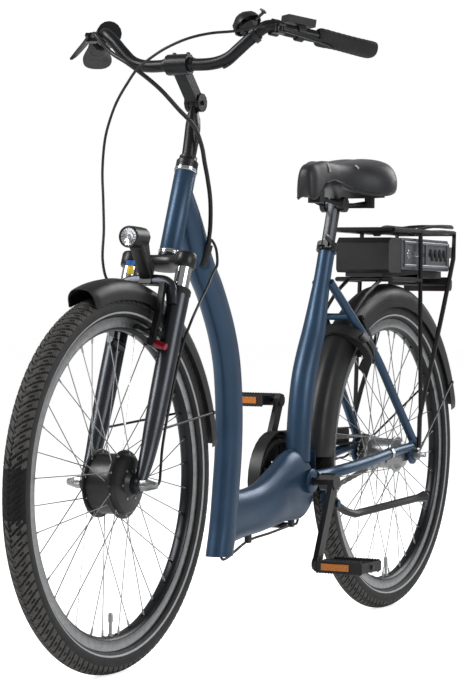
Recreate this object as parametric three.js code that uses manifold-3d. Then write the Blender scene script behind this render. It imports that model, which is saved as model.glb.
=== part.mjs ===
// A step-through city bicycle with a front motor hub and a battery in the rear rack.
// Millimetres. +X is forward, +Y the rider's left, +Z up. The ground is z = 0.
// Pieces are first placed from the rear axle, and the finished bicycle is centred along X.
import * as THREE from 'three';
import { mergeVertices } from 'three/addons/utils/BufferGeometryUtils.js';
import Module from 'manifold-3d';

const wasm = await Module();
wasm.setup();

const degree = Math.PI / 180;

// Clearances
const gap = 0.3;
const overrun = 4;
const weldDistance = 0.001;

// Wheels
const wheelbase = 1138.5;
const tyreRadius = 326.5;
const tyreHalfWidth = 23;
const tyreHeight = 40.5;
const rimRadius = tyreRadius - tyreHeight;
const rimDepth = 24.5;
const rimHalfWidth = 12.5;
const rimHookHeight = 9;
const rimWall = 1.7;
const frontValveAngle = -90 * degree;
const rearValveAngle = -93.5 * degree;
const rimBevel = 6;
const valveRadius = 2.6;
const valveLength = 40;
const spokeRadius = 1.25;
const spokeSpread = 4;
const spokesPerWheel = 36;
const wheelSegments = 28;
const hubSegments = 12;
// From the rim edge to the tread, and from the middle to the widest place
const tyreSectionShares = [[0.03, 0.457], [0.44, 1], [0.84, 0.74], [1, 0.2]];

// Front motor hub and its axle
const motorFlangeRadius = 59;
const motorShellRadius = 52;
const motorFlangeOffset = 24;
const motorFlangeThickness = 4;
const motorHalfWidth = 49.7;
const motorCoverRadius = 44;
const motorBossRadius = 17;
const frontAxleRadius = 6;
const frontAxleHalfLength = 88;
const frontNutRadius = 11;
const frontNutLength = 14;
const frontSpokeTurn = 20 * degree;
const spokePhase = 5 * degree;

// Rear geared hub, its axle and the reaction arm of the back-pedal brake
const rearFlangeRadius = 38;
const rearShellRadius = 32;
const rearFlangeOffset = 28;
const rearFlangeThickness = 5;
const rearHubLeft = 54;
const rearHubRight = 35;
const rearHubEndRadius = 13;
const rearAxleRadius = 5;
const rearAxleLeft = 95;
const rearAxleRight = 82;
const rearNutRadius = 11;
const rearSpacerInset = 2;
const rearNutLength = 12;
const rearSpokeTurn = 60 * degree;
const reactionArmReach = 116;
const reactionArmDrop = 13;
const reactionArmThickness = 3.5;
const reactionArmHalfHeight = 6;
const reactionDiscRadius = 11.5;
const reactionStrapLength = 10;
const reactionStrapThickness = 3;

// Steering and fork, measured along and across the steering axis
const headAngle = 69.5 * degree;
const forkOffset = 42.05;
const headTubeLength = 153.3;
const crownSeat = 9.7;
const crownTop = headTubeLength + crownSeat;
const crownClearance = 108.8;
const forkLength = crownTop + crownClearance + tyreRadius;
const headTubeRadius = 19.5;
const headCupRadius = 21;
const headCupHeight = 7;
const headBoreRadius = 16;
const steererRadius = 14.3;
const steererBoreRadius = 11.3;
const locknutHeight = 24;
const locknutLowRadius = 20;
const locknutTopRadius = 16;
const crownHeight = 32;
const crownFront = 47;
const crownRear = 20;
const legOffset = 32;
const legSpacing = 54;
const stanchionRadius = 14;
const stanchionLength = 237;
const stanchionEnd = crownTop + stanchionLength;
const forkTravel = 38;
const lowersDrop = 72;
const lowersTop = crownTop + lowersDrop;
const lowersFoot = 26.3;
const lowersBottom = forkLength - lowersFoot;
const lowersRadius = 19;
const lowersFootRadius = 15;
const archFront = 60;
const archRear = 48;
const archDrop = 59;
const archTop = crownTop + archDrop;
const archHeight = 24;
const dropoutThickness = 6;
const frontDropoutInner = 50;
const frontDropoutRadius = 15;
const frontDropoutStart = 180 * degree;
const frontDropoutEnd = 400 * degree;

// V-brakes, measured from their axle: up along the leg, away from it, and out from the middle
const brakePivotDrop = 36;
const brakePivotUp = rimRadius - brakePivotDrop;
const brakePivotOut = 40;
const brakeStudRadius = 4;
const brakeArmRise = 33.5;
const brakeArmTop = tyreRadius + brakeArmRise;
const brakeArmWidth = 11;
const brakeArmThickness = 9;
const brakePadLength = 50;
const brakePadHeight = 9;
const brakePadThickness = 8;
const brakePadClearance = 1.5;
const brakePadPostRadius = 3.5;
const frontBrakeAway = 27;
const frontStudReach = 34;
const rearBrakeAway = 42;
const noodleRadius = 2.6;

// Mudguards
const mudguardHalfWidth = 30;
const mudguardWall = 2;
const mudguardStayRadius = 2.2;
const mudguardSteps = 16;
const frontMudguardClearance = 25.5;
const frontMudguardRadius = tyreRadius + frontMudguardClearance;
const frontMudguardSkirt = 36;
const frontMudguardStart = 71 * degree;
const frontMudguardEnd = 171 * degree;
const rearMudguardClearance = 33.5;
const rearMudguardRadius = tyreRadius + rearMudguardClearance;
const rearMudguardSkirt = 48;
const rearMudguardStart = 1.5 * degree;
const rearMudguardEnd = 164.6 * degree;
// Half width and drop from the crown, each as a share of the section's own
const mudguardSectionShares = [[0, 0], [0.62, 0.12], [0.93, 0.45], [1, 1]];
const stayLegRise = 99.3;
const stayLegDown = forkLength - stayLegRise;
const staySpreadAngle = 160 * degree;
const rearStayAngle = 154 * degree;

// Main frame
const bracketClearance = 88.5;
const bracketDrop = 34.5;
const bracketX = tyreRadius + bracketClearance;
const bracketZ = tyreRadius - bracketDrop;
const bracketShellRadius = 24;
const bracketShellHalfWidth = 34;
const crankAxleRadius = 8.5;
const downTubeTop = 41;
const downTubeClearance = 69;
const downTubeFootDrop = 122;
const downTubeFootX = wheelbase - tyreRadius - downTubeClearance;
const downTubeFootZ = bracketZ - downTubeFootDrop;
const downTubeHalfDepth = 30;
const downTubeHalfWidth = 23;
const portRadius = 9;
const portHeight = 40;
const portShares = [0.671, 0.8346];
// Forward from the foot, up from the foot, depth and width, top to bottom
const downTubeShares = [
  [1, 1, 0.75, 0.8],
  [0.837, 0.934, 0.9, 0.9],
  [0.533, 0.806, 1, 1],
  [0.298, 0.738, 1, 1],
  [0.019, 0.631, 1, 1],
  [-0.124, 0.542, 1, 1],
  [-0.186, 0.452, 1, 1],
  [-0.205, 0.383, 1, 1],
  [-0.192, 0.279, 1, 1],
  [-0.155, 0.203, 1, 1],
  [-0.081, 0.078, 1, 1],
  [0, 0, 1, 1],
];
const beamHalfWidth = 25;
const beamHalfHeight = 50;
const beamFrontDrop = 55.5;
const beamRearDrop = 7;
const beamOverlap = 8;
const beamBehindBracket = 36;
const beamFrontZ = bracketZ - beamFrontDrop;
const beamRearZ = bracketZ - beamRearDrop;
const beamFrontX = downTubeFootX - beamOverlap;
const beamRearX = bracketX - beamBehindBracket;
// Back from the front end, up from the front height, half height and half width
const beamShares = [
  [0, 0, 1, 0.9],
  [0.228, 0.134, 0.9, 0.92],
  [0.407, 0.278, 0.95, 0.95],
  [0.587, 0.629, 1.14, 1],
  [0.716, 0.93, 1.33, 1],
  [0.81, 1, 1.4, 1],
  [0.9, 0.93, 1.28, 1],
  [0.965, 0.9, 0.95, 0.92],
  [1, 0.9, 0.45, 0.7],
];
const seatAngle = 71 * degree;
const seatTubeSetback = 123;
const seatTubeRise = 465;
const seatTubeTopX = bracketX - seatTubeSetback;
const seatTubeTopZ = bracketZ + seatTubeRise;
const seatTubeRadius = 16.6;
const seatTubeSwell = 24.5;
const seatTubeFootAhead = 2;
const seatTubeFootRise = 38;
const seatTubeFootX = bracketX + seatTubeFootAhead;
const seatTubeFootZ = bracketZ + seatTubeFootRise;
const seatpostRadius = 13.6;
const seatTubeBoreDepth = 190;
// Forward from the top, down from the top, and how far the tube has swollen
const seatTubeShares = [
  [0, 0, 0],
  [0.184, 0.157, 0.05],
  [0.29, 0.246, 0.3],
  [0.46, 0.393, 0.85],
  [0.66, 0.51, 1],
  [0.81, 0.61, 1],
  [0.915, 0.742, 1],
  [0.98, 0.9, 1],
  [1, 1, 1],
];
const stayEndY = 64;
const chainstayFrontRadius = 11;
const chainstayRearRadius = 9;
const chainstayFrontY = 26;
const chainstayBehindBracket = 23;
const chainstayFrontRise = 8;
const chainstayFrontX = bracketX - chainstayBehindBracket;
const chainstayFrontZ = bracketZ + chainstayFrontRise;
const chainstayRearX = 8;
const chainstayRearRise = 16.5;
const chainstayRearZ = tyreRadius + chainstayRearRise;
// Back from the bracket, out, and up, each a share of the stay's own reach
const chainstayShares = [
  [0, 0, 0], [0.13, 0.1, 0.06], [0.24, 0.44, 0.2], [0.5, 0.79, 0.5], [0.76, 0.93, 0.8], [1, 1, 1],
];
const bridgeBehindBracket = 63;
const bridgeX = bracketX - bridgeBehindBracket;
const bridgeThickness = 14;
const bridgeHalfHeight = 9;
const rearDropoutRadius = 20;
const rearDropoutInner = 62;
const rearDropoutRise = 38;
const seatstayRadius = 9;
const seatstayFootX = -4;
const seatstayFootRise = 29.5;
const seatstayFootZ = tyreRadius + seatstayFootRise;
// Forward and up from the foot to the top
const seatstayBendShares = [0.551, 0.5623];
const seatstayBendY = 52;
const seatstayTopAhead = 18;
const seatstayTopDrop = 72;
const seatstayTopX = seatTubeTopX + seatstayTopAhead;
const seatstayTopZ = seatTubeTopZ - seatstayTopDrop;
const seatstayTopY = 15;
const stayBridgeClearance = 51.5;
const stayBridgeReach = tyreRadius + stayBridgeClearance;
const stayBridgeRadius = 7;
const standBehindBracket = 80;
const standDrop = 49;
const standPivotX = bracketX - standBehindBracket;
const standPivotY = 40;
const standPivotZ = bracketZ - standDrop;
const standPinRadius = 5;
const standHubRadius = 12;
const standHubHalfLength = 9;
const standLegRadius = 8;
const standReach = 291;
const standSpread = 72;
const standSag = 25;
// Back, out and down from the pivot
const standLegShares = [
  [0.041, 0.028, 0.12],
  [0.12, 0.083, 0.56],
  [0.2165, 0.139, 1],
  [0.3265, 0.236, 0.92],
  [0.6357, 0.611, 0.48],
  [0.945, 0.93, 0.08],
];
const standFootShares = [[0.9244, 0.9028, 0.12], [1, 1, 0]];

// Drive
const chainPitch = 12.7;
const chainringTeeth = 38;
const spiderArms = 5;
const spiderArmHalfAngle = 12 * degree;
const sprocketTeeth = 18;
const chainLine = 45;
const chainHalfWidth = 3.9;
const chainPinHalfHeight = 4.3;
const chainWaistHalfHeight = 3.2;
const toothHeight = 2.2;
const toothRootDepth = 3.4;
const sprocketHalfThickness = 1.5;
const crankLength = 170;
const crankAngle = -65.2 * degree;
const crankInner = 72;
const crankOuter = 85;
const crankBossRadius = 17;
const crankEyeRadius = 13;
const crankBossInner = 52;
const spiderReach = 66;
const spindleRadius = 4.5;
const spindleEnd = 198;
const pedalInner = 93;
const pedalOuter = 203;
const pedalHalfLength = 46;
const pedalHalfHeight = 14;
const pedalRail = 13;
const pedalBarrelRadius = 11;
const guardRadius = 96;
const guardArcStart = 97 * degree;
const guardArcEnd = -215 * degree;
const guardInner = 36;
const guardOuter = 62.5;
const guardWall = 2.5;
const guardHole = 36;
const guardStripRise = 56.5;
const guardStripTop = tyreRadius + guardStripRise;
const guardStripHeight = 34;
const guardStripEnd = 48;

// Seat
const clampHeight = 18;
const clampRadius = 21.5;
const clampLip = 6;
const clampEarReach = 32;
const clampEarHalfWidth = 7;
const clampLeverLength = 34;
const skewerRadius = 2.5;
const seatpostInserted = 120;
const seatpostExposed = 84;
const seatpostBarrelRadius = 12;
const seatpostBarrelHalfWidth = 16;
const saddleSetback = 152;
const saddleRearX = seatTubeTopX - saddleSetback;
const saddleLength = 265;
const saddleHalfWidth = 98;
const saddleRise = 183;
const saddleTopZ = seatTubeTopZ + saddleRise;
const saddleDepth = 95;
// Forward from the back, half width, top below the highest place, underside below it
const saddleShares = [
  [0, 0.5, 0.1, 0.42],
  [0.02, 0.78, 0.03, 0.56],
  [0.07, 0.94, 0, 0.7],
  [0.14, 1, 0, 0.79],
  [0.22, 0.97, 0.03, 0.83],
  [0.31, 0.84, 0.07, 0.8],
  [0.4, 0.64, 0.11, 0.72],
  [0.5, 0.46, 0.14, 0.62],
  [0.6, 0.36, 0.15, 0.54],
  [0.7, 0.3, 0.15, 0.52],
  [0.8, 0.26, 0.16, 0.62],
  [0.88, 0.24, 0.19, 0.86],
  [0.94, 0.22, 0.24, 0.98],
  [0.98, 0.17, 0.33, 0.97],
  [1, 0.09, 0.5, 0.8],
];
// Around one section: out from the middle, and up from the underside to the top
const saddleSectionShares = [
  [0, 1], [0.22, 0.995], [0.44, 0.97], [0.64, 0.91], [0.81, 0.8], [0.93, 0.62], [0.99, 0.4], [1, 0.2],
  [0.97, 0.04],
  [0.88, 0], [0.6, 0.05], [0.3, 0.08], [0, 0.09],
];
const saddleShellThickness = 6;
const railRadius = 3.5;
const railSpacing = 22;
const bumperRadius = 11;

// Rack, battery and rear light
const rackTubeRadius = 5;
const rackTubeSides = 6;
const rackCrossRadius = 4;
const rackHalfWidth = 68;
const rackClearance = 144;
const rackDeckZ = 2 * tyreRadius + rackClearance;
const rackFrontX = 120;
const rackRearX = -220;
const rackLowerDrop = 103;
const rackLowerZ = rackDeckZ - rackLowerDrop;
const rackLowerHalfWidth = 62;
const rackLegX = -22;
const rackLegFootY = 76;
const rackLegFootRise = 98.5;
const rackLegFootZ = tyreRadius + rackLegFootRise;
const rackEyeX = -15;
const rackEyeRise = 13.5;
const rackEyeZ = tyreRadius + rackEyeRise;
const clampHingeX = -40;
const rackClampRearX = -240;
const rackClampRise = 19;
const rackClampRearZ = rackDeckZ + rackClampRise;
const rackClampRadius = 3.5;
const rackClampHalfWidth = 57;
const dockFrontX = 124;
const dockBackX = 60;
const dockTopDrop = 16;
const dockBottomDrop = 89;
const dockTopZ = rackDeckZ - dockTopDrop;
const dockBottomZ = rackDeckZ - dockBottomDrop;
const dockHalfWidth = 60;
const dockFloorDrop = 81.4;
const dockFloorThickness = 15.6;
const dockFloorTop = rackDeckZ - dockFloorDrop;
const dockFloorBottom = dockFloorTop - dockFloorThickness;
const dockFloorHalfWidth = 42;
const batteryLength = 258;
const batteryHalfWidth = 61;
const batteryTopDrop = 15;
const batteryHeight = 66;
const batteryTopZ = rackDeckZ - batteryTopDrop;
const batteryBottomZ = batteryTopZ - batteryHeight;
const batteryHandleReach = 64;
const batteryRound = 12;
const rearLightX = -214;
const rearLightDepth = 18;
const rearLightHalfWidth = 54;
const rearLightRise = 9;
const rearLightTopZ = rackLowerZ + rearLightRise;
const rearLightHeight = 29;

// Ring lock, in the plane of the wheel's axis
const lockAngle = 46.5 * degree;
const lockInset = 22.5;
const lockCentre = tyreRadius - lockInset;
const lockRadius = 64;
const lockBore = 46;
const lockHalfThickness = 13;
const lockBoltRadius = 54;
const lockBoltHalfSize = 4.2;
const lockOpening = 32 * degree;
const lockBoltStart = 34 * degree;
const lockBoltSweep = 100 * degree;
const lockKnobAngle = 122 * degree;
const lockKnobReach = 76;
const lockSlotHalfSize = 6;
const lockTurn = 74 * degree;
const lockRunOut = 4 * degree;
const lockKnobBehind = 6 * degree;
const lockKnobAhead = 7 * degree;
const lockFootSize = 16;
const lockFootDepth = 7;
const lockFootDrop = 30;

// Stem and handlebar
const quillRadius = 11;
const quillDepth = 90;
const kneePivotForward = 12.2;
const kneePivotUp = 132.8;
const kneeRadius = 17;
const kneeLugHalfWidth = 7;
const kneeHalfWidth = 15;
const kneeBoltRadius = 4;
const clampForward = 93.4;
const clampUp = 169.8;
const clampHalfWidth = 22;
const clampOuterRadius = 19;
const extensionWidth = 24;
const extensionThickness = 22;
const barRadius = 11.1;
const barCentreRadius = 12.7;
const barCentreHalfWidth = 30;
const barHalfWidth = 300;
const barRise = 64;
const barSweep = 187;
// Back, out and up to where the straight hand part begins
const barBendShares = [
  [0, 0.12, 0],
  [0.005, 0.233, 0],
  [0.016, 0.327, 0.14],
  [0.037, 0.4, 0.42],
  [0.07, 0.477, 0.75],
  [0.112, 0.553, 1],
];
const barEndDrop = 30;
const barBendSteps = 20;
const gripStart = 98;
const gripRadius = 15.5;
const gripWing = 14;
const leverPivotForward = 28.4;
const leverPivotDown = 5.2;
const leverPivotAlong = 13.5;
const leverTipForward = 43.6;
const leverTipDown = 18.7;
const leverTipAlong = 108.2;
const leverThickness = 8;
const leverHeight = 12;
const leverHubRadius = 7;
const controlBore = 12;
const controlClampRadius = 15.5;
const controlClampWidth = 14;
const barrelRadius = 4;
const barrelLength = 22;
const barrelDroop = 2;
const displayAlong = 56;
const displayLength = 55;
const displayWidth = 32;
const displayHeight = 14;
const displayRise = 22;
const bellRadius = 27.5;
const bellHeight = 24;
const bellRise = 18;
const bellWall = 2;
const bellPostRadius = 3.5;
const bellInset = 22;
const bellLean = 20 * degree;
const bellLeverReach = 40;
const bellLeverAngle = 80 * degree;
const indicatorStart = 24;
const indicatorLength = 28;
const indicatorRadius = 27;
const sleeveLength = 42;
const sleeveRadius = 19;

// Front light
const lampForward = 103.1;
const lampRise = 54.1;
const lampRadius = 19;
const lampLength = 45;
const lampLensRadius = 16.5;
const lampNeckHalfWidth = 12;

// Cables
const cableRadius = 2.5;
const bundleRadius = 4;
const cableSides = 8;

// Points and frames that several pieces share
const xAxis = new THREE.Vector3(1, 0, 0);
const yAxis = new THREE.Vector3(0, 1, 0);
const zAxis = new THREE.Vector3(0, 0, 1);
const at = (x, y, z) => new THREE.Vector3(x, y, z);
const rearHub = at(0, 0, tyreRadius);
const frontHub = at(wheelbase, 0, tyreRadius);
const steeringUp = at(-Math.cos(headAngle), 0, Math.sin(headAngle));
const steeringForward = at(Math.sin(headAngle), 0, Math.cos(headAngle));
const headTop = frontHub.clone()
  .addScaledVector(steeringUp, forkLength)
  .addScaledVector(steeringForward, -forkOffset);
const frameOf = (origin, x, y, z) => new THREE.Matrix4().makeBasis(x, y, z).setPosition(origin);
const steeringFrame = frameOf(headTop, steeringForward, yAxis, steeringUp);
const fromSteering = (forward, y, up) => at(forward, y, up).applyMatrix4(steeringFrame);
const intoSteering = (point) => point.clone().applyMatrix4(steeringFrame.clone().invert());
const seatUp = at(-Math.cos(seatAngle), 0, Math.sin(seatAngle));
const seatForward = at(Math.sin(seatAngle), 0, Math.cos(seatAngle));
const seatFrame = frameOf(at(seatTubeTopX, 0, seatTubeTopZ), seatForward, yAxis, seatUp);
const staySpan = at(seatstayTopX - seatstayFootX, 0, seatstayTopZ - seatstayFootZ).normalize();
const stayBack = at(-staySpan.z, 0, staySpan.x);
const stayFrame = frameOf(rearHub, stayBack, yAxis.clone().negate(), staySpan);
const legFrame = frameOf(at(forkOffset, 0, -forkLength), xAxis, yAxis, zAxis);
const chainringRadius = chainPitch / (2 * Math.sin(Math.PI / chainringTeeth));
const sprocketRadius = chainPitch / (2 * Math.sin(Math.PI / sprocketTeeth));
const rimFaceRadius = (rimRadius - rimDepth) * Math.cos(Math.PI / wheelSegments);

// Shape makers. Each gives a closed BufferGeometry.

function asSolid(geometry) {
  const bare = geometry.clone();
  bare.deleteAttribute('normal');
  bare.deleteAttribute('uv');
  const merged = mergeVertices(bare, weldDistance);
  const position = merged.attributes.position.array;
  const index = merged.index.array;
  const corners = [];
  let volume = 0;
  const [a, b, c] = [at(0, 0, 0), at(0, 0, 0), at(0, 0, 0)];
  for (let i = 0; i < index.length; i += 3) {
    const [p, q, r] = [index[i], index[i + 1], index[i + 2]];
    if (p !== q && q !== r && r !== p) {
      corners.push(p, q, r);
      volume += a.fromArray(position, 3 * p)
        .dot(b.fromArray(position, 3 * q).cross(c.fromArray(position, 3 * r)));
    }
  }
  if (volume < 0) {
    corners.reverse();
  }
  const mesh = new wasm.Mesh({
    numProp: 3,
    vertProperties: Float32Array.from(position),
    triVerts: Uint32Array.from(corners),
  });
  return new wasm.Manifold(mesh);
}

function asGeometry(solid) {
  const mesh = solid.getMesh();
  const geometry = new THREE.BufferGeometry();
  geometry.setAttribute('position', new THREE.BufferAttribute(Float32Array.from(mesh.vertProperties), 3));
  geometry.setIndex(new THREE.BufferAttribute(Uint32Array.from(mesh.triVerts), 1));
  return geometry;
}

const join = (...pieces) => asGeometry(pieces.map(asSolid).reduce((whole, piece) => whole.add(piece)));
const cut = (body, ...tools) =>
  asGeometry(tools.map(asSolid).reduce((whole, tool) => whole.subtract(tool), asSolid(body)));
const common = (body, other) => asGeometry(asSolid(body).intersect(asSolid(other)));
const moved = (geometry, matrix) => geometry.clone().applyMatrix4(matrix);
const shifted = (geometry, x, y, z) => geometry.clone().translate(x, y, z);
const mirrored = (geometry) => asGeometry(asSolid(geometry.clone().scale(1, -1, 1)));

function box(x0, x1, y0, y1, z0, z1) {
  return new THREE.BoxGeometry(x1 - x0, y1 - y0, z1 - z0)
    .translate((x0 + x1) / 2, (y0 + y1) / 2, (z0 + z1) / 2);
}

// A profile of [radius, y] points turned about the Y axis. It closes on itself.
function turned(profile, segments) {
  const points = profile.map(([radius, y]) => new THREE.Vector2(radius, y));
  points.push(points[0].clone());
  return new THREE.LatheGeometry(points, segments);
}

const disc = (radius, y0, y1, segments) => turned([[0, y0], [radius, y0], [radius, y1], [0, y1]], segments);
const ring = (inner, outer, y0, y1, segments) =>
  turned([[inner, y0], [outer, y0], [outer, y1], [inner, y1]], segments);

// Turns a piece made about Y so that it lies along a direction from a start point
function along(geometry, start, direction) {
  const turn = new THREE.Quaternion().setFromUnitVectors(yAxis, direction.clone().normalize());
  return geometry.clone().applyQuaternion(turn).translate(start.x, start.y, start.z);
}

function rod(start, end, radius, sides = 12, endRadius = radius) {
  const span = end.clone().sub(start);
  return along(
    turned([[0, 0], [radius, 0], [endRadius, span.length()], [0, span.length()]], sides), start, span,
  );
}

// A straight bar of a few flat sides, from the origin along Y
function prism(radius, sides, length) {
  const corners = Array.from(
    { length: sides }, (_, i) => new THREE.Vector2(...polar(0, 0, radius, (2 * Math.PI * i) / sides)),
  );
  return new THREE.ExtrudeGeometry(new THREE.Shape(corners), { depth: length, bevelEnabled: false })
    .rotateX(-Math.PI / 2);
}

function tube(points, radius, steps, sides) {
  const path = new THREE.CatmullRomCurve3(points, false, 'centripetal');
  return tubeOn(path, radius, steps, sides);
}

function tubeOn(path, radius, steps, sides) {
  const corners = Array.from({ length: sides }, (_, i) => {
    const angle = (2 * Math.PI * i) / sides;
    return new THREE.Vector2(radius * Math.cos(angle), radius * Math.sin(angle));
  });
  return new THREE.ExtrudeGeometry(
    new THREE.Shape(corners), { steps, bevelEnabled: false, extrudePath: path },
  );
}

// Skins rings of equal count. The ends are closed by triangles of the first ring's flat outline.
function skinned(rings, outline) {
  const count = rings[0].length;
  const position = rings.flat().flatMap((point) => [point.x, point.y, point.z]);
  const index = [];
  for (let i = 0; i + 1 < rings.length; i += 1) {
    for (let j = 0; j < count; j += 1) {
      const next = (j + 1) % count;
      const [low, high] = [i * count, (i + 1) * count];
      index.push(low + j, low + next, high + next, low + j, high + next, high + j);
    }
  }
  const last = (rings.length - 1) * count;
  const clockwise = THREE.ShapeUtils.isClockWise(outline);
  for (const [a, b, c] of THREE.ShapeUtils.triangulateShape(outline, [])) {
    const [p, q] = clockwise ? [c, b] : [b, c];
    index.push(a, q, p, last + a, last + p, last + q);
  }
  const geometry = new THREE.BufferGeometry();
  geometry.setAttribute('position', new THREE.Float32BufferAttribute(position, 3));
  geometry.setIndex(index);
  return geometry;
}

// A rounded ring of points about a centre; a higher power makes it squarer
function roundedRing(centre, across, up, halfAcross, halfUp, sides, power = 2) {
  return Array.from({ length: sides }, (_, i) => {
    const angle = (2 * Math.PI * (i + 0.5)) / sides;
    const [c, s] = [Math.cos(angle), Math.sin(angle)];
    return centre.clone()
      .addScaledVector(across, halfAcross * Math.sign(c) * Math.abs(c) ** (2 / power))
      .addScaledVector(up, halfUp * Math.sign(s) * Math.abs(s) ** (2 / power));
  });
}

function loft(rings) {
  const outline = rings[0].map((_, i) => {
    const angle = (2 * Math.PI * i) / rings[0].length;
    return new THREE.Vector2(Math.cos(angle), Math.sin(angle));
  });
  return skinned(rings, outline);
}

// Directions along a run of points, each towards the next and from the last
function directions(points) {
  return points.map((_, i) => {
    const before = points[Math.max(i - 1, 0)];
    const after = points[Math.min(i + 1, points.length - 1)];
    return after.clone().sub(before).normalize();
  });
}

// A flat outline in X and Z, thick along Y from y0 to y1
function plate(outline, y0, y1, holes = []) {
  const shape = outline instanceof THREE.Shape
    ? outline
    : new THREE.Shape(outline.map(([x, z]) => new THREE.Vector2(x, z)));
  shape.holes.push(...holes);
  return new THREE.ExtrudeGeometry(shape, { depth: y1 - y0, bevelEnabled: false, curveSegments: 12 })
    .rotateX(Math.PI / 2)
    .translate(0, y1, 0);
}

const polar = (centreX, centreZ, radius, angle) =>
  [centreX + radius * Math.cos(angle), centreZ + radius * Math.sin(angle)];

function arcPoints(centreX, centreZ, radius, from, to, steps) {
  return Array.from(
    { length: steps + 1 }, (_, i) => polar(centreX, centreZ, radius, from + ((to - from) * i) / steps),
  );
}

// Wheels, made about the origin with their axle along Y

function tyre() {
  const rise = tyreRadius - rimRadius;
  const seatRadius = rimRadius - rimHookHeight + gap;
  const seatHalfWidth = rimHalfWidth - rimWall - gap;
  const side = tyreSectionShares.map(([up, out], i) => [
    rimRadius + up * rise,
    i === 0 ? seatHalfWidth : out * tyreHalfWidth,
  ]);
  const half = [[seatRadius, seatHalfWidth], ...side];
  return turned([...half, ...half.map(([radius, y]) => [radius, -y]).reverse()], wheelSegments);
}

function rim(valveAngle) {
  const inner = rimRadius - rimDepth;
  const half = [
    [rimRadius - rimHookHeight, rimHalfWidth - rimWall],
    [rimRadius, rimHalfWidth],
    [inner + rimBevel, rimHalfWidth],
    [inner, rimHalfWidth - rimBevel],
  ];
  const hoop = turned([...half, ...half.map(([radius, y]) => [radius, -y]).reverse()], wheelSegments);
  const [topX, topZ] = polar(0, 0, inner + rimBevel, valveAngle);
  const [tipX, tipZ] = polar(0, 0, inner - valveLength, valveAngle);
  return join(hoop, rod(at(topX, 0, topZ), at(tipX, 0, tipZ), valveRadius, 8));
}

// Tangential lacing: on each flange every other spoke leads and the rest trail, and they cross
function spokes(flangeRadius, flangeOffset, flangeThickness, turn, phase) {
  const reach = rimFaceRadius - gap - spokeRadius / 4;
  return Array.from({ length: spokesPerWheel }, (_, i) => {
    const side = i % 2 === 0 ? 1 : -1;
    const leads = Math.floor(i / 2) % 2 === 0 ? 1 : -1;
    const rimAngle = phase + (2 * Math.PI * i) / spokesPerWheel;
    const hubAngle = rimAngle + leads * turn;
    const [hubX, hubZ] = polar(0, 0, flangeRadius - 1.5 * spokeSpread, hubAngle);
    const [rimX, rimZ] = polar(0, 0, reach, rimAngle);
    const hubY = side * (flangeOffset + leads * (flangeThickness / 2));
    const [start, end] = [at(hubX, hubY, hubZ), at(rimX, side * (spokeSpread / 2), rimZ)];
    return along(prism(spokeRadius, 3, end.distanceTo(start)), start, end.clone().sub(start));
  });
}

function motorHub() {
  const outer = motorFlangeOffset + motorFlangeThickness / 2;
  const inner = motorFlangeOffset - motorFlangeThickness / 2;
  const bore = frontAxleRadius + gap;
  const shell = turned([
    [bore, -motorHalfWidth],
    [motorBossRadius, -motorHalfWidth],
    [motorBossRadius, -motorHalfWidth + frontAxleRadius],
    [motorCoverRadius, -outer - frontAxleRadius],
    [motorShellRadius, -outer],
    [motorFlangeRadius, -outer],
    [motorFlangeRadius, -inner],
    [motorShellRadius, -inner],
    [motorShellRadius, inner],
    [motorFlangeRadius, inner],
    [motorFlangeRadius, outer],
    [motorShellRadius, outer],
    [motorShellRadius - spokeSpread, outer + 1.5 * frontAxleRadius],
    [motorCoverRadius / 2, outer + 2 * frontAxleRadius],
    [motorBossRadius, motorHalfWidth],
    [bore, motorHalfWidth],
  ], hubSegments);
  return join(
    shell, ...spokes(motorFlangeRadius, motorFlangeOffset, motorFlangeThickness, frontSpokeTurn, spokePhase),
  );
}

function gearHub() {
  const outer = rearFlangeOffset + rearFlangeThickness / 2;
  const inner = rearFlangeOffset - rearFlangeThickness / 2;
  const bore = rearAxleRadius + gap;
  const shell = turned([
    [bore, -rearHubRight],
    [rearShellRadius - rearFlangeThickness, -rearHubRight],
    [rearShellRadius, -outer],
    [rearFlangeRadius, -outer],
    [rearFlangeRadius, -inner],
    [rearShellRadius, -inner],
    [rearShellRadius, inner],
    [rearFlangeRadius, inner],
    [rearFlangeRadius, outer],
    [rearShellRadius, outer],
    [rearShellRadius - rearFlangeThickness, rearHubLeft - 2 * rearFlangeThickness],
    [rearHubEndRadius, rearHubLeft - rearFlangeThickness],
    [rearHubEndRadius, rearHubLeft],
    [bore, rearHubLeft],
  ], hubSegments);
  const phase = lockAngle + spokePhase;
  return join(
    shell, ...spokes(rearFlangeRadius, rearFlangeOffset, rearFlangeThickness, rearSpokeTurn, phase),
  );
}

function frontAxle() {
  const outside = frontDropoutInner + dropoutThickness + gap;
  const nut = join(
    ring(frontAxleRadius - gap, frontNutRadius, outside, outside + frontNutLength, 6),
    turned([
      [0, outside],
      [frontNutRadius - 2 * gap, outside],
      [frontNutRadius - 2 * gap, outside + frontNutLength],
      [frontAxleRadius, frontAxleHalfLength],
      [0, frontAxleHalfLength],
    ], 8),
  );
  return join(disc(frontAxleRadius, -outside - gap, outside + gap, 10), nut, mirrored(nut));
}

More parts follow.
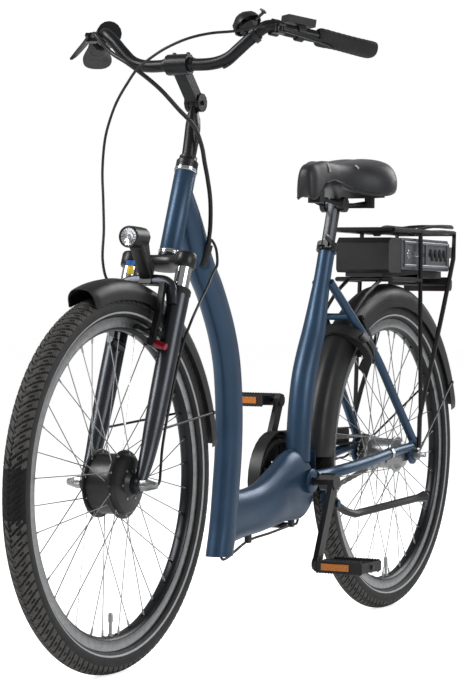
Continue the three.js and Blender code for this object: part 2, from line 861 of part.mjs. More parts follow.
function rearAxle() {
  const inside = rearDropoutInner - gap;
  const outside = rearDropoutInner + dropoutThickness + gap;
  const spacer = rearNutRadius - rearSpacerInset;
  const armY = rearHubLeft + gap + spokeRadius;
  const armEnd = at(reactionArmReach, 0, -reactionArmDrop);
  const arm = join(
    disc(reactionDiscRadius, armY, armY + reactionArmThickness, 12),
    plate([
      [0, reactionArmHalfHeight],
      [0, -reactionDiscRadius],
      [armEnd.x, armEnd.z - reactionArmHalfHeight],
      [armEnd.x + reactionArmHalfHeight, armEnd.z],
      [armEnd.x, armEnd.z + reactionArmHalfHeight],
    ], armY, armY + reactionArmThickness),
  );
  return join(
    reactionStrap(armY, armEnd),
    disc(rearAxleRadius, -rearAxleRight, rearAxleLeft, 8),
    disc(spacer, armY + reactionArmThickness - gap, inside, 8),
    disc(spacer, -inside, -inside + 2 * spokeSpread, 8),
    disc(rearNutRadius, outside, outside + rearNutLength, 6),
    disc(rearNutRadius, -outside - rearNutLength, -outside, 6),
    arm,
  );
}

// The strap that holds the reaction arm's end to the left chain stay, from the rear axle
function reactionStrap(armY, armEnd) {
  const [before, after] = chainstayPoints().slice(-2);
  const pointAt = (x) => before.clone().lerp(after, (before.x - x) / (before.x - after.x));
  const band = rod(
    pointAt(armEnd.x),
    pointAt(armEnd.x - reactionStrapLength),
    chainstayRearRadius + 2 * gap + reactionStrapThickness,
    8,
  ).translate(0, 0, -tyreRadius);
  const lug = box(
    armEnd.x - reactionStrapLength,
    armEnd.x,
    armY,
    armY + reactionArmThickness,
    armEnd.z,
    armEnd.z + 2 * reactionArmHalfHeight,
  );
  return cut(join(band, lug), chainstayTube(gap).translate(0, 0, -tyreRadius));
}

// Frame

function downTubeSpine() {
  const top = fromSteering(0, 0, -downTubeTop);
  return downTubeShares.map(([forward, up]) => at(
    downTubeFootX + forward * (top.x - downTubeFootX),
    0,
    downTubeFootZ + up * (top.z - downTubeFootZ),
  ));
}

function downTubeSkin(grow) {
  const spine = downTubeSpine();
  const heading = directions(spine);
  heading[heading.length - 1].set(0, 0, -1);
  return loft(spine.map((centre, i) => {
    const across = at(-heading[i].z, 0, heading[i].x);
    const [, , depth, width] = downTubeShares[i];
    return roundedRing(
      centre, across, yAxis, depth * downTubeHalfDepth + grow, width * downTubeHalfWidth + grow, 12, 2.3,
    );
  }));
}

// The opening in the left of the down tube where the cables go in
function portAt() {
  const top = fromSteering(0, 0, -downTubeTop);
  const [forward, up] = portShares;
  return at(
    downTubeFootX + forward * (top.x - downTubeFootX),
    downTubeHalfWidth,
    downTubeFootZ + up * (top.z - downTubeFootZ),
  );
}

function downTube() {
  const headTube = turned([
    [0, -headTubeLength - headCupHeight],
    [headCupRadius, -headTubeLength - headCupHeight],
    [headCupRadius, -headTubeLength],
    [headTubeRadius, -headTubeLength],
    [headTubeRadius, 0],
    [headCupRadius, 0],
    [headCupRadius, headCupHeight],
    [0, headCupHeight],
  ], 14).rotateX(Math.PI / 2).applyMatrix4(steeringFrame);
  const bore = rod(
    fromSteering(0, 0, -headTubeLength - overrun * overrun),
    fromSteering(0, 0, overrun * overrun),
    headBoreRadius,
    14,
  );
  const port = portAt();
  const hood = rod(
    port.clone().add(at(portRadius / 4, -portRadius, -portHeight / 2)),
    port.clone().add(at(-portRadius / 2, portRadius / 4, portHeight / 2)),
    portRadius * 0.8,
    8,
    portRadius,
  );
  return cut(join(downTubeSkin(0), headTube, hood), bore);
}

function beamSkin(grow) {
  return loft(beamShares.map(([back, up, height, width]) => roundedRing(
    at(beamFrontX + back * (beamRearX - beamFrontX), 0, beamFrontZ + up * (beamRearZ - beamFrontZ)),
    yAxis,
    zAxis,
    width * beamHalfWidth + grow,
    height * beamHalfHeight + grow,
    10,
    2.6,
  )));
}

const bracketShell = (grow) => shifted(
  disc(bracketShellRadius + grow, -bracketShellHalfWidth - grow, bracketShellHalfWidth + grow, 12),
  bracketX,
  0,
  bracketZ,
);

// The gear cable's clips under the beam
const beamClipShares = [[0.304, 0.952], [0.82, 0.61]];
const underBeam = ([back, down]) => at(
  beamFrontX + back * (beamRearX - beamFrontX),
  0,
  beamFrontZ - down * beamHalfHeight,
);
const beamClipPlaces = beamClipShares.map(underBeam);

function lowerBeam() {
  const clips = beamClipPlaces.map((place) => box(
    place.x - 2 * overrun,
    place.x + 2 * overrun,
    -1.5 * overrun,
    1.5 * overrun,
    place.z - 1.5 * overrun,
    place.z + beamHalfHeight / 2,
  ));
  const bore = shifted(
    disc(crankAxleRadius + gap, -bracketShellHalfWidth - overrun, bracketShellHalfWidth + overrun, 12),
    bracketX,
    0,
    bracketZ,
  );
  return cut(
    join(beamSkin(0), bracketShell(0), ...clips), downTubeSkin(gap), bore, beamCableTube(cableRadius + gap),
  );
}

function seatTubeSkin(grow) {
  const spine = seatTubeShares.map(([forward, down]) => at(
    seatTubeTopX + forward * (seatTubeFootX - seatTubeTopX),
    0,
    seatTubeTopZ + down * (seatTubeFootZ - seatTubeTopZ),
  ));
  const heading = directions(spine);
  return loft(spine.map((centre, i) => {
    const radius = seatTubeRadius + seatTubeShares[i][2] * (seatTubeSwell - seatTubeRadius) + grow;
    return roundedRing(centre, at(-heading[i].z, 0, heading[i].x), yAxis, radius, radius, 10);
  }));
}

function seatTube() {
  const bore = moved(
    rod(at(0, 0, -seatTubeBoreDepth), at(0, 0, overrun), seatpostRadius + gap, 12),
    seatFrame,
  );
  return cut(seatTubeSkin(0), beamSkin(gap), bore);
}

// A stay as a tapering run of rods through a list of points
function taperedStay(points, startRadius, endRadius, grow, sides = 8) {
  const heading = directions(points);
  return loft(points.map((centre, i) => {
    const radius = startRadius + ((endRadius - startRadius) * i) / (points.length - 1) + grow;
    const across = heading[i].clone().cross(zAxis).normalize();
    return roundedRing(centre, across, across.clone().cross(heading[i]).normalize(), radius, radius, sides);
  }));
}

function chainstayPoints() {
  return chainstayShares.map(([back, out, up]) => at(
    chainstayFrontX + back * (chainstayRearX - chainstayFrontX),
    chainstayFrontY + out * (stayEndY - chainstayFrontY),
    chainstayFrontZ + up * (chainstayRearZ - chainstayFrontZ),
  ));
}

const chainstayTube = (grow) =>
  taperedStay(chainstayPoints(), chainstayFrontRadius, chainstayRearRadius, grow);

function rearDropout(grow) {
  const r = rearDropoutRadius + grow;
  const top = tyreRadius + rearDropoutRise + grow;
  const outline = [
    ...arcPoints(0, tyreRadius, r, -180 * degree, 0, 6),
    [r, tyreRadius + rearDropoutRadius],
    [rearDropoutRadius / 4, top],
    [-rearDropoutRadius * 0.8 - grow, top],
    [-r, tyreRadius + rearDropoutRadius],
  ];
  return plate(outline, rearDropoutInner - grow, rearDropoutInner + dropoutThickness + grow);
}

function chainstays() {
  const half = join(chainstayTube(0), rearDropout(0));
  const bridge = box(
    bridgeX - bridgeThickness / 2,
    bridgeX + bridgeThickness / 2,
    -chainstayFrontY,
    chainstayFrontY,
    chainstayFrontZ - bridgeHalfHeight,
    chainstayFrontZ + bridgeHalfHeight,
  );
  const tabX = rearMudguardRadius + gap;
  const tab = box(
    tabX, tabX + mudguardWall, -overrun * 3, overrun * 3, chainstayFrontZ, tyreRadius + rimDepth,
  );
  const tabRoot = box(
    bridgeX, tabX + mudguardWall, -overrun * 3, overrun * 3, chainstayFrontZ,
    chainstayFrontZ + bridgeHalfHeight,
  );
  const standPlate = box(
    standPivotX - standHubRadius,
    standPivotX + standHubRadius,
    standPivotY - standHubHalfLength - 2.5 * overrun,
    standPivotY - standHubHalfLength - overrun / 2,
    standPivotZ - standHubRadius,
    chainstayFrontZ,
  );
  const pinStart = standPlacePoint(-standHubHalfLength - 2 * overrun);
  const pinEnd = standPlacePoint(standHubHalfLength + gap);
  const pin = join(
    rod(pinStart, standPlacePoint(standHubHalfLength + gap + overrun), standPinRadius, 10),
    rod(pinEnd, standPlacePoint(standHubHalfLength + gap + overrun), standPinRadius + overrun, 10),
  );
  const hole = shifted(disc(rearAxleRadius + gap, -rearAxleLeft, rearAxleLeft, 12), 0, 0, tyreRadius);
  return cut(
    join(half, mirrored(half), bridge, tab, tabRoot, standPlate, pin),
    beamSkin(gap),
    bracketShell(gap),
    hole,
  );
}

// The stand turns about an axis that leans a little, so that its foot swings out as it comes down
const standAxis = at(-0.1, 1, 0.05).normalize();
const standPlacePoint = (out) => at(standPivotX, standPivotY, standPivotZ).addScaledVector(standAxis, out);

function kickstandLeg() {
  const hub = along(
    ring(standPinRadius + gap, standHubRadius, -standHubHalfLength, standHubHalfLength, 10),
    at(standPivotX, standPivotY, standPivotZ),
    standAxis,
  );
  const onLeg = ([back, out, down]) => at(
    standPivotX - back * standReach,
    standPivotY + out * standSpread,
    standPivotZ - down * standSag,
  );
  const route = standLegShares.map(onLeg);
  const [heel, toe] = standFootShares.map(onLeg);
  const leg = cut(
    tube(route, standLegRadius, 8, 8),
    rod(standPlacePoint(-standHubRadius), standPlacePoint(standHubRadius * 2), standPinRadius + gap, 10),
  );
  const foot = rod(heel, toe, standLegRadius, 8, standHubRadius);
  return join(hub, leg, foot);
}

function seatstayPoints() {
  return [
    at(seatstayFootX, stayEndY, seatstayFootZ),
    at(
      seatstayFootX + seatstayBendShares[0] * (seatstayTopX - seatstayFootX),
      seatstayBendY,
      seatstayFootZ + seatstayBendShares[1] * (seatstayTopZ - seatstayFootZ),
    ),
    at(seatstayTopX, seatstayTopY, seatstayTopZ),
  ];
}

const seatstayTube = (grow) => taperedStay(seatstayPoints(), seatstayRadius, seatstayRadius, grow);

// How far the stays lie behind the axle, and where along them a reach from the axle falls
const stayLift = at(seatstayFootX, 0, seatstayFootZ - tyreRadius).dot(stayBack);
const stayUpAt = (reach) => Math.sqrt(reach * reach - stayLift * stayLift);

function seatstays() {
  const half = cut(seatstayTube(0), rearDropout(gap), chainstayTube(gap));
  const bridgeUp = stayUpAt(stayBridgeReach);
  const bridge = disc(stayBridgeRadius, -seatstayBendY + seatstayTopY, seatstayBendY - seatstayTopY, 8)
    .translate(stayLift, 0, bridgeUp)
    .applyMatrix4(stayFrame);
  const lug = box(
    stayLift,
    rearBrakeAway - brakeArmThickness / 2 - gap,
    brakePivotOut - 2 * brakeStudRadius,
    seatstayBendY,
    brakePivotUp - 2 * brakeStudRadius,
    brakePivotUp + 2 * brakeStudRadius,
  ).applyMatrix4(stayFrame);
  const stud = rod(
    at(stayLift + brakeStudRadius, brakePivotOut, brakePivotUp),
    at(rearBrakeAway + brakeArmThickness / 2 + gap, brakePivotOut, brakePivotUp),
    brakeStudRadius,
    8,
  ).applyMatrix4(stayFrame);
  const outer = join(half, lug, stud);
  return cut(join(outer, mirrored(outer), bridge), seatTubeSkin(gap));
}

// Mudguards

function mudguardShell(radius, skirt, from, to, grow = 0) {
  const outside = mudguardSectionShares.map(([out, drop]) => [out * mudguardHalfWidth, -drop * skirt]);
  const wallShare = (mudguardHalfWidth - mudguardWall) / mudguardHalfWidth;
  const inside = mudguardSectionShares.filter((_, i) => i !== 1).map(([out, drop]) => [
    out * mudguardHalfWidth * wallShare,
    -mudguardWall - drop * (skirt - mudguardWall),
  ]);
  const profile = [
    ...outside.map(([y, r]) => [-y, r]).reverse(),
    ...outside.slice(1),
    ...inside.slice().reverse(),
    ...inside.slice(1).map(([y, r]) => [-y, r]),
  ];
  const outline = profile.map(([y, r]) => new THREE.Vector2(y, r));
  const rings = Array.from({ length: mudguardSteps + 1 }, (_, i) => {
    const angle = from + ((to - from) * i) / mudguardSteps;
    return profile.map(([y, r]) => {
      const [x, z] = polar(0, 0, radius + r + grow, angle);
      return at(x, y, z);
    });
  });
  return skinned(rings, outline);
}

const headTilt = 90 * degree - headAngle;

function frontMudguard() {
  const shell = mudguardShell(
    frontMudguardRadius,
    frontMudguardSkirt,
    frontMudguardStart - headTilt,
    frontMudguardEnd - headTilt,
  ).translate(forkOffset, 0, -forkLength);
  const reach = frontMudguardRadius - frontMudguardSkirt * 0.6;
  const [stayX, stayZ] = polar(forkOffset, -forkLength, reach, staySpreadAngle - headTilt);
  const stay = cut(
    rod(
      at(legOffset, legSpacing, -stayLegDown), at(stayX, mudguardHalfWidth - mudguardWall / 2, stayZ),
      mudguardStayRadius, 6,
    ),
    forkLeg(gap),
  );
  return join(shell, stay, mirrored(stay));
}

function rearMudguard() {
  const shell = mudguardShell(rearMudguardRadius, rearMudguardSkirt, rearMudguardStart, rearMudguardEnd)
    .translate(0, 0, tyreRadius);
  const reach = rearMudguardRadius - rearMudguardSkirt * 0.6;
  const [endX, endZ] = polar(0, tyreRadius, reach, rearStayAngle);
  const outside = rearDropoutInner + dropoutThickness + 3 * gap + mudguardStayRadius;
  const stay = rod(
    at(-rearDropoutRadius * 0.8, outside, tyreRadius),
    at(endX, mudguardHalfWidth - mudguardWall / 2, endZ),
    mudguardStayRadius,
    6,
  );
  return join(shell, stay, mirrored(stay));
}

// Fork, in the steering frame: x forward of the axis, z up from the head tube's top

const upright = (geometry) => geometry.clone().rotateX(Math.PI / 2);
const crownHalfWidth = legSpacing + lowersRadius;
const crownShares = [[-0.42, 0.24], [-0.1, 0.55], [0.3, 0.9], [0.51, 1], [0.85, 1], [1, 0.88]];

function forkUpper() {
  const nutFoot = headCupHeight + gap;
  const steererTop = nutFoot + locknutHeight;
  const stack = turned([
    [0, -crownTop - overrun],
    [steererRadius, -crownTop - overrun],
    [steererRadius, nutFoot],
    [locknutLowRadius, nutFoot],
    [locknutLowRadius, nutFoot + locknutHeight * 0.6],
    [locknutTopRadius, nutFoot + locknutHeight * 0.7],
    [locknutTopRadius, steererTop],
    [0, steererTop],
  ], 14);
  const race = disc(locknutLowRadius, -crownTop - overrun, -headTubeLength - headCupHeight - gap, 14);
  const quillHole = disc(steererBoreRadius, -quillDepth - 3 * overrun, steererTop + overrun, 14);
  const outline = [...crownShares, ...crownShares.map(([x, y]) => [x, -y]).reverse()];
  const crown = new THREE.ExtrudeGeometry(
    new THREE.Shape(outline.map(([x, y]) => new THREE.Vector2(x * crownFront, y * crownHalfWidth))),
    { depth: crownHeight, bevelEnabled: false },
  ).translate(0, 0, -crownTop - crownHeight);
  const legs = [1, -1].map((side) => rod(
    at(legOffset, side * legSpacing, -crownTop - crownHeight / 2),
    at(legOffset, side * legSpacing, -stanchionEnd),
    stanchionRadius,
    12,
  ));
  return cut(join(upright(stack), upright(race), crown, ...legs), upright(quillHole));
}

const forkLeg = (grow) => rod(
  at(legOffset, legSpacing, -lowersTop + grow),
  at(legOffset, legSpacing, -lowersBottom - grow),
  lowersRadius + grow,
  10,
  lowersFootRadius + grow,
);

function forkLowers() {
  const bore = rod(
    at(legOffset, legSpacing, -lowersTop + overrun),
    at(legOffset, legSpacing, -stanchionEnd - forkTravel - overrun),
    stanchionRadius + gap,
    12,
  );
  const footTop = lowersBottom - 2 * lowersFootRadius;
  const dropout = plate([
    [legOffset - lowersFootRadius / 2, -footTop],
    ...arcPoints(forkOffset, -forkLength, frontDropoutRadius, frontDropoutStart, frontDropoutEnd, 8),
    [legOffset + lowersFootRadius, -lowersBottom],
    [legOffset + lowersFootRadius / 2, -footTop],
  ], frontDropoutInner, frontDropoutInner + dropoutThickness);
  const axleHole = disc(frontAxleRadius + gap, -frontAxleHalfLength, frontAxleHalfLength, 10)
    .translate(forkOffset, 0, -forkLength);
  const studZ = brakePivotUp - forkLength;
  const studFace = forkOffset + frontBrakeAway - brakeArmThickness / 2 - gap;
  const studEnd = forkOffset + frontBrakeAway + brakeArmThickness / 2 + gap;
  const stud = join(
    rod(at(legOffset, brakePivotOut, studZ), at(studFace, brakePivotOut, studZ), 2 * brakeStudRadius, 8),
    rod(
      at(legOffset, brakePivotOut, studZ), at(studEnd + overrun, brakePivotOut, studZ), brakeStudRadius, 8,
    ),
    rod(
      at(studEnd, brakePivotOut, studZ), at(studEnd + overrun, brakePivotOut, studZ), brakeStudRadius * 1.7,
      6,
    ),
  );
  const archFoot = box(
    archRear,
    archFront,
    legSpacing - lowersRadius * 0.6,
    legSpacing + lowersRadius * 0.6,
    -archTop - 2 * archHeight,
    -archTop,
  );
  const arch = box(archRear, archFront, -legSpacing, legSpacing, -archTop - archHeight, -archTop);
  const half = join(cut(join(forkLeg(0), archFoot, stud), bore), dropout);
  return cut(join(half, mirrored(half), arch), axleHole);
}

// A linear-pull brake arm in its own frame: x away from the leg, y out, z up from the axle
function brakeArm(away) {
  const track = rimRadius - 1.5 * brakePadHeight;
  const padUp = Math.sqrt(track * track - away * away);
  const padTilt = Math.atan2(away, padUp);
  const padInner = rimHalfWidth + brakePadClearance;
  const outline = [
    [brakePivotOut - brakeArmWidth / 2, brakePivotUp],
    [brakePivotOut + brakeArmWidth / 2, brakePivotUp],
    [brakePivotOut + brakeArmWidth * 0.7, (brakePivotUp + brakeArmTop) / 2],
    [brakePivotOut + brakeArmWidth / 2, brakeArmTop],
    [brakePivotOut - brakeArmWidth / 2, brakeArmTop],
    [brakePivotOut - brakeArmWidth * 0.35, (brakePivotUp + brakeArmTop) / 2],
  ];
  const blade = new THREE.ExtrudeGeometry(
    new THREE.Shape(outline.map(([y, z]) => new THREE.Vector2(y, z))),
    { depth: brakeArmThickness, bevelEnabled: false },
  );
  const swapped = new THREE.Matrix4().makeBasis(yAxis, zAxis, xAxis);
  const face = away - brakeArmThickness / 2;
  const boss = rod(
    at(face, brakePivotOut, brakePivotUp), at(face + brakeArmThickness, brakePivotOut, brakePivotUp),
    2.2 * brakeStudRadius, 8,
  );
  const bore = rod(
    at(face - overrun, brakePivotOut, brakePivotUp),
    at(face + brakeArmThickness + overrun, brakePivotOut, brakePivotUp),
    brakeStudRadius + gap,
    8,
  );
  const wireHole = rod(
    at(away, brakePivotOut - brakeArmWidth, wireUp),
    at(away, brakePivotOut + brakeArmWidth, wireUp),
    noodleRadius + 2 * gap,
    8,
  );
  const pad = new THREE.BoxGeometry(brakePadLength, brakePadThickness, brakePadHeight)
    .rotateY(padTilt)
    .translate(away, padInner + brakePadThickness / 2, padUp);
  const post = rod(
    at(away, padInner + brakePadThickness / 2, padUp),
    at(away, brakePivotOut + brakeArmWidth, padUp),
    brakePadPostRadius,
    6,
  );
  return cut(join(moved(blade, swapped).translate(face, 0, 0), boss, post, pad), bore, wireHole);
}

const wireUp = brakeArmTop - 2 * noodleRadius;

// Front light, level on its bracket

const archFaceX = archFront + gap;
// Forward from the arch to the lamp, and down from the lamp
const lampBracketShares = [
  [0, 0.9], [0.09, 0.9], [0.09, 0.62], [0.42, 0.5], [1, 0.28], [1, -0.05], [0.62, 0.02], [0.36, 0.32],
  [0, 0.46],
];

function headlight() {
  const lampPlace = fromSteering(lampForward, 0, lampRise - archTop);
  const middle = intoSteering(lampPlace.clone().add(at(lampLength / 3, 0, 0)));
  const drop = middle.z + archTop + archHeight;
  const bracket = plate(
    lampBracketShares.map(
      ([forward, down]) => [archFaceX + forward * (middle.x - archFaceX), middle.z - down * drop],
    ),
    -lampNeckHalfWidth,
    lampNeckHalfWidth,
  );
  const shell = turned([
    [0, -lampRadius * 0.4],
    [lampRadius * 0.6, -lampRadius * 0.3],
    [lampRadius * 0.94, 0],
    [lampRadius, lampLength * 0.6],
    [lampRadius, lampLength],
    [lampLensRadius, lampLength],
    [lampLensRadius, lampLength * 0.93],
    [lampLensRadius * 0.6, lampLength * 0.98],
    [0, lampLength],
  ], 12);
  const toForward = new THREE.Matrix4().makeBasis(zAxis, xAxis, yAxis).setPosition(lampPlace);
  const local = steeringFrame.clone().invert().multiply(toForward);
  return join(bracket, moved(shell, local));
}

// Stem

function stemQuill() {
  const column = rod(at(0, 0, -quillDepth), at(0, 0, kneePivotUp - 2 * kneeRadius), quillRadius, 12);
  const lug = disc(kneeRadius - gap * 3, -kneeLugHalfWidth, kneeLugHalfWidth, 16)
    .translate(kneePivotForward, 0, kneePivotUp);
  const neck = loft([
    roundedRing(
      at(0, 0, kneePivotUp - 2.2 * kneeRadius), xAxis, yAxis, quillRadius - gap, quillRadius - gap, 8,
    ),
    roundedRing(
      at(kneePivotForward / 3, 0, kneePivotUp - 1.3 * kneeRadius), xAxis, yAxis, quillRadius,
      kneeLugHalfWidth, 8, 3,
    ),
    roundedRing(
      at(kneePivotForward, 0, kneePivotUp), xAxis, yAxis, quillRadius - gap, kneeLugHalfWidth - gap, 8, 6,
    ),
  ]);
  const hole = disc(kneeBoltRadius + gap, -kneeHalfWidth, kneeHalfWidth, 16)
    .translate(kneePivotForward, 0, kneePivotUp);
  return cut(join(column, lug, neck), hole);
}

function stemHead() {
  const knee = at(kneePivotForward, 0, kneePivotUp);
  const clamp = at(clampForward, 0, clampUp);
  const reach = clamp.clone().sub(knee);
  const length = reach.length();
  const rise = Math.atan2(reach.z, reach.x);
  const arm = box(
    0, length, -extensionWidth / 2, extensionWidth / 2, -extensionThickness / 2, extensionThickness / 2,
  )
    .rotateY(-rise)
    .translate(knee.x, 0, knee.z);
  const cheeks = disc(kneeRadius, -kneeHalfWidth, kneeHalfWidth, 12).translate(knee.x, 0, knee.z);
  const slot = disc(kneeRadius + gap, -kneeLugHalfWidth - gap, kneeLugHalfWidth + gap, 12)
    .translate(knee.x, 0, knee.z);
  const bolt = disc(kneeBoltRadius, -kneeHalfWidth - overrun, kneeHalfWidth + overrun, 8)
    .translate(knee.x, 0, knee.z);
  const barrel = disc(clampOuterRadius, -clampHalfWidth, clampHalfWidth, 12).translate(clamp.x, 0, clamp.z);
  const heads = [1, -1].map((side) => rod(
    at(clamp.x, side * clampHalfWidth * 0.64, clamp.z),
    at(clamp.x, side * clampHalfWidth * 0.64, clamp.z + clampOuterRadius + overrun),
    kneeBoltRadius,
    6,
  ));
  const bore = disc(barCentreRadius + 3 * gap, -barHalfWidth, barHalfWidth, 12)
    .translate(clamp.x, 0, clamp.z);
  return cut(join(cut(join(arm, cheeks), slot), bolt, barrel, ...heads), bore);
}

// Handlebar

const barCentre = fromSteering(clampForward, 0, clampUp);
const handStart = at(
  barCentre.x - barBendShares[barBendShares.length - 1][0] * barSweep,
  barBendShares[barBendShares.length - 1][1] * barHalfWidth,
  barCentre.z + barRise,
);
const handEnd = at(barCentre.x - barSweep, barHalfWidth, barCentre.z + barRise - barEndDrop);
const handSpan = handEnd.clone().sub(handStart);
const handLength = handSpan.length();
const handDirection = handSpan.clone().normalize();
const handForward = handDirection.clone().cross(zAxis).normalize();
const leftHand = frameOf(handStart, handForward, handDirection.clone().cross(handForward), handDirection);
const flipped = (vector) => at(vector.x, -vector.y, vector.z);
const rightHand = frameOf(
  flipped(handStart),
  flipped(handForward),
  flipped(handDirection).cross(flipped(handForward)),
  flipped(handDirection),
);

function barPoints() {
  const half = barBendShares.map(
    ([back, out, up]) => at(barCentre.x - back * barSweep, out * barHalfWidth, barCentre.z + up * barRise),
  );
  const onHand = [
    handStart,
    ...[overrun, 2 * overrun].map((along) => handStart.clone().addScaledVector(handDirection, along)),
  ];
  const left = [...half.slice(1, -1), ...onHand];
  return [...left.map(flipped).reverse(), half[0], ...left];
}

const barPath = () => new THREE.CatmullRomCurve3(barPoints(), false, 'centripetal');

function handlebar() {
  const middle = disc(barCentreRadius, -barCentreHalfWidth, barCentreHalfWidth, 12)
    .translate(barCentre.x, 0, barCentre.z);
  const bend = barPath().getPoints(barBendSteps);
  const end = handStart.clone().addScaledVector(handDirection, handLength - 2 * overrun);
  const points = [flipped(end), ...bend, end];
  return join(taperedStay(points, barRadius, barRadius, 0, 8), middle);
}

// Along the grip: half width towards the palm, half height, and the shift towards the palm
const gripShares = [
  [0, 0.95, 0.95, 0], [0.06, 1.06, 1.06, 0], [0.3, 1.04, 1, 0.1], [0.6, 1.5, 0.92, 0.55],
  [0.85, 1.7, 0.86, 0.75], [1, 1.35, 0.84, 0.5],
];

function grip() {
  const length = handLength - gripStart;
  const body = loft(gripShares.map(([share, wide, high, shift]) => roundedRing(
    at(-shift * gripWing, 0, gripStart + share * length),
    xAxis,
    yAxis,
    wide * gripRadius,
    high * gripRadius,
    10,
  )));
  const bore = rod(at(0, 0, gripStart - overrun), at(0, 0, handLength - 1.5 * overrun), barRadius + gap, 16);
  return cut(body, bore);
}

// Lever, its tip's places written from its pivot
const leverTip = at(leverTipForward, leverTipDown, leverTipAlong);
const leverPivot = at(leverPivotForward, leverPivotDown, leverPivotAlong);
const leverShares = [
  [0, 0, 1, 1], [0.14, 0.02, 1, 1], [0.42, 0.3, 0.95, 0.9], [0.75, 0.72, 0.9, 0.8], [0.94, 1, 0.8, 0.7],
  [1, 1.35, 0.5, 0.6],
];

function brakeLever() {
  const reach = leverTip.clone().sub(leverPivot);
  const blade = loft(leverShares.map(([length, bend, high, thick]) => roundedRing(
    at(leverPivot.x + bend * reach.x, leverPivot.y + bend * reach.y * 0.9, leverPivot.z + length * reach.z),
    xAxis,
    yAxis,
    (high * leverHeight) / 2,
    (thick * leverThickness) / 2,
    8,
    3,
  )));
  const hub = disc(leverHubRadius, -leverThickness / 2, leverThickness / 2, 12)
    .translate(leverPivot.x, leverPivot.y, leverPivot.z);
  const pin = disc(skewerRadius, -leverThickness - gap, leverThickness + gap, 8)
    .translate(leverPivot.x, leverPivot.y, leverPivot.z);
  return join(blade, hub, pin);
}

function leverMount() {
  const first = leverPivotAlong - controlClampWidth / 2;
  const last = leverPivotAlong + controlClampWidth / 2;
  const cheekFace = leverThickness / 2 + gap;
  const cheekBack = leverThickness + gap;
  const wall = leverPivot.x - leverHubRadius - 2 * gap;
  const clamp = upright(disc(controlClampRadius, first, last, 12));
  const body = box(
    controlClampRadius - 2 * gap, wall, leverPivot.y - cheekBack, leverPivot.y + cheekBack, first - overrun,
    last,
  );
  const barrelBlock = box(
    wall - overrun,
    leverPivot.x,
    leverPivot.y - cheekBack,
    leverPivot.y + cheekBack,
    first - overrun,
    leverPivot.z - leverHubRadius - 2 * gap,
  );
  const link = box(
    controlBore + gap,
    controlClampRadius + gap,
    leverPivot.y - cheekBack,
    leverPivot.y + cheekBack - overrun,
    first,
    last,
  );
  const cheeks = [1, -1].map((side) => box(
    wall - overrun,
    leverPivot.x + leverHubRadius,
    leverPivot.y + Math.min(side * cheekFace, side * cheekBack),
    leverPivot.y + Math.max(side * cheekFace, side * cheekBack),
    first,
    last,
  ));
  const hole = disc(skewerRadius + gap, -barRadius, barRadius, 8)
    .translate(leverPivot.x, leverPivot.y, leverPivot.z);
  const barrel = rod(barrelFoot, barrelTip, barrelRadius, 8);
  const barBore = rod(at(0, 0, -barHalfWidth), at(0, 0, barHalfWidth), controlBore, 12);
  return cut(join(clamp, body, barrelBlock, link, ...cheeks, barrel), hole, barBore);
}

const barrelFoot = at(
  leverPivotForward - overrun, leverPivotDown, leverPivotAlong - controlClampWidth / 2 - overrun / 2,
);
const barrelTip = at(
  leverPivotForward - overrun,
  leverPivotDown + barrelDroop,
  leverPivotAlong - controlClampWidth / 2 - barrelLength,
);

// The right mount carries the gear indicator; its drum sits above and behind the bar
function indicatorMount() {
  const drum = upright(disc(indicatorRadius - overrun, indicatorStart, indicatorStart + indicatorLength, 16))
    .translate(-indicatorRadius * 0.4, -indicatorRadius * 0.3, 0);
  const bridge = upright(disc(controlClampRadius, leverPivotAlong, indicatorStart + overrun, 12));
  const window = box(
    -indicatorRadius,
    indicatorRadius / 4,
    -2 * indicatorRadius,
    -indicatorRadius * 1.08,
    indicatorStart + overrun,
    indicatorStart + indicatorLength - overrun,
  );
  const barBore = rod(at(0, 0, -barHalfWidth), at(0, 0, barHalfWidth), controlBore, 12);
  return cut(join(leverMount(), drum, bridge), barBore, window);
}

function shifterSleeve() {
  const start = indicatorStart + indicatorLength + gap;
  const ribs = 12;
  const outline = Array.from({ length: 2 * ribs }, (_, i) => {
    const radius = i % 2 === 0 ? sleeveRadius : sleeveRadius - spokeRadius;
    return new THREE.Vector2(...polar(0, 0, radius, (Math.PI * i) / ribs));
  });
  const drum = new THREE.ExtrudeGeometry(
    new THREE.Shape(outline), { depth: sleeveLength, bevelEnabled: false },
  ).translate(0, 0, start);
  return cut(
    drum, rod(at(0, 0, start - overrun), at(0, 0, start + sleeveLength + overrun), barRadius + gap, 16),
  );
}

function display() {
  const clamp = upright(
    ring(controlBore, controlClampRadius, displayAlong, displayAlong + controlClampWidth, 12),
  );
  const middle = displayAlong + controlClampWidth / 2;
  const body = box(
    -displayWidth * 0.85,
    displayWidth * 0.15,
    -displayRise - displayHeight / 2,
    -displayRise + displayHeight / 2,
    middle - displayLength / 2,
    middle + displayLength / 2,
  );
  const screen = box(
    -displayWidth * 0.75,
    displayWidth * 0.05,
    -displayRise - displayHeight,
    -displayRise - displayHeight / 2 + spokeRadius,
    middle - displayLength * 0.4,
    middle + displayLength * 0.3,
  );
  return cut(join(clamp, body), screen);
}

// Bell, in a frame that stands on the bar: y runs along the bar, z up through the dome
function bellFrame() {
  const path = barPath();
  const samples = 400;
  const target = handStart.y - bellInset;
  const miss = (share) => Math.abs(path.getPoint(share).y - target);
  const share = Array.from({ length: samples }, (_, i) => i / samples)
    .reduce((best, next) => (miss(next) < miss(best) ? next : best));
  const heading = path.getTangent(share);
  const up = zAxis.clone().addScaledVector(heading, -heading.z).normalize()
    .applyAxisAngle(heading, -bellLean);
  return frameOf(path.getPoint(share), heading.clone().cross(up), heading, up);
}

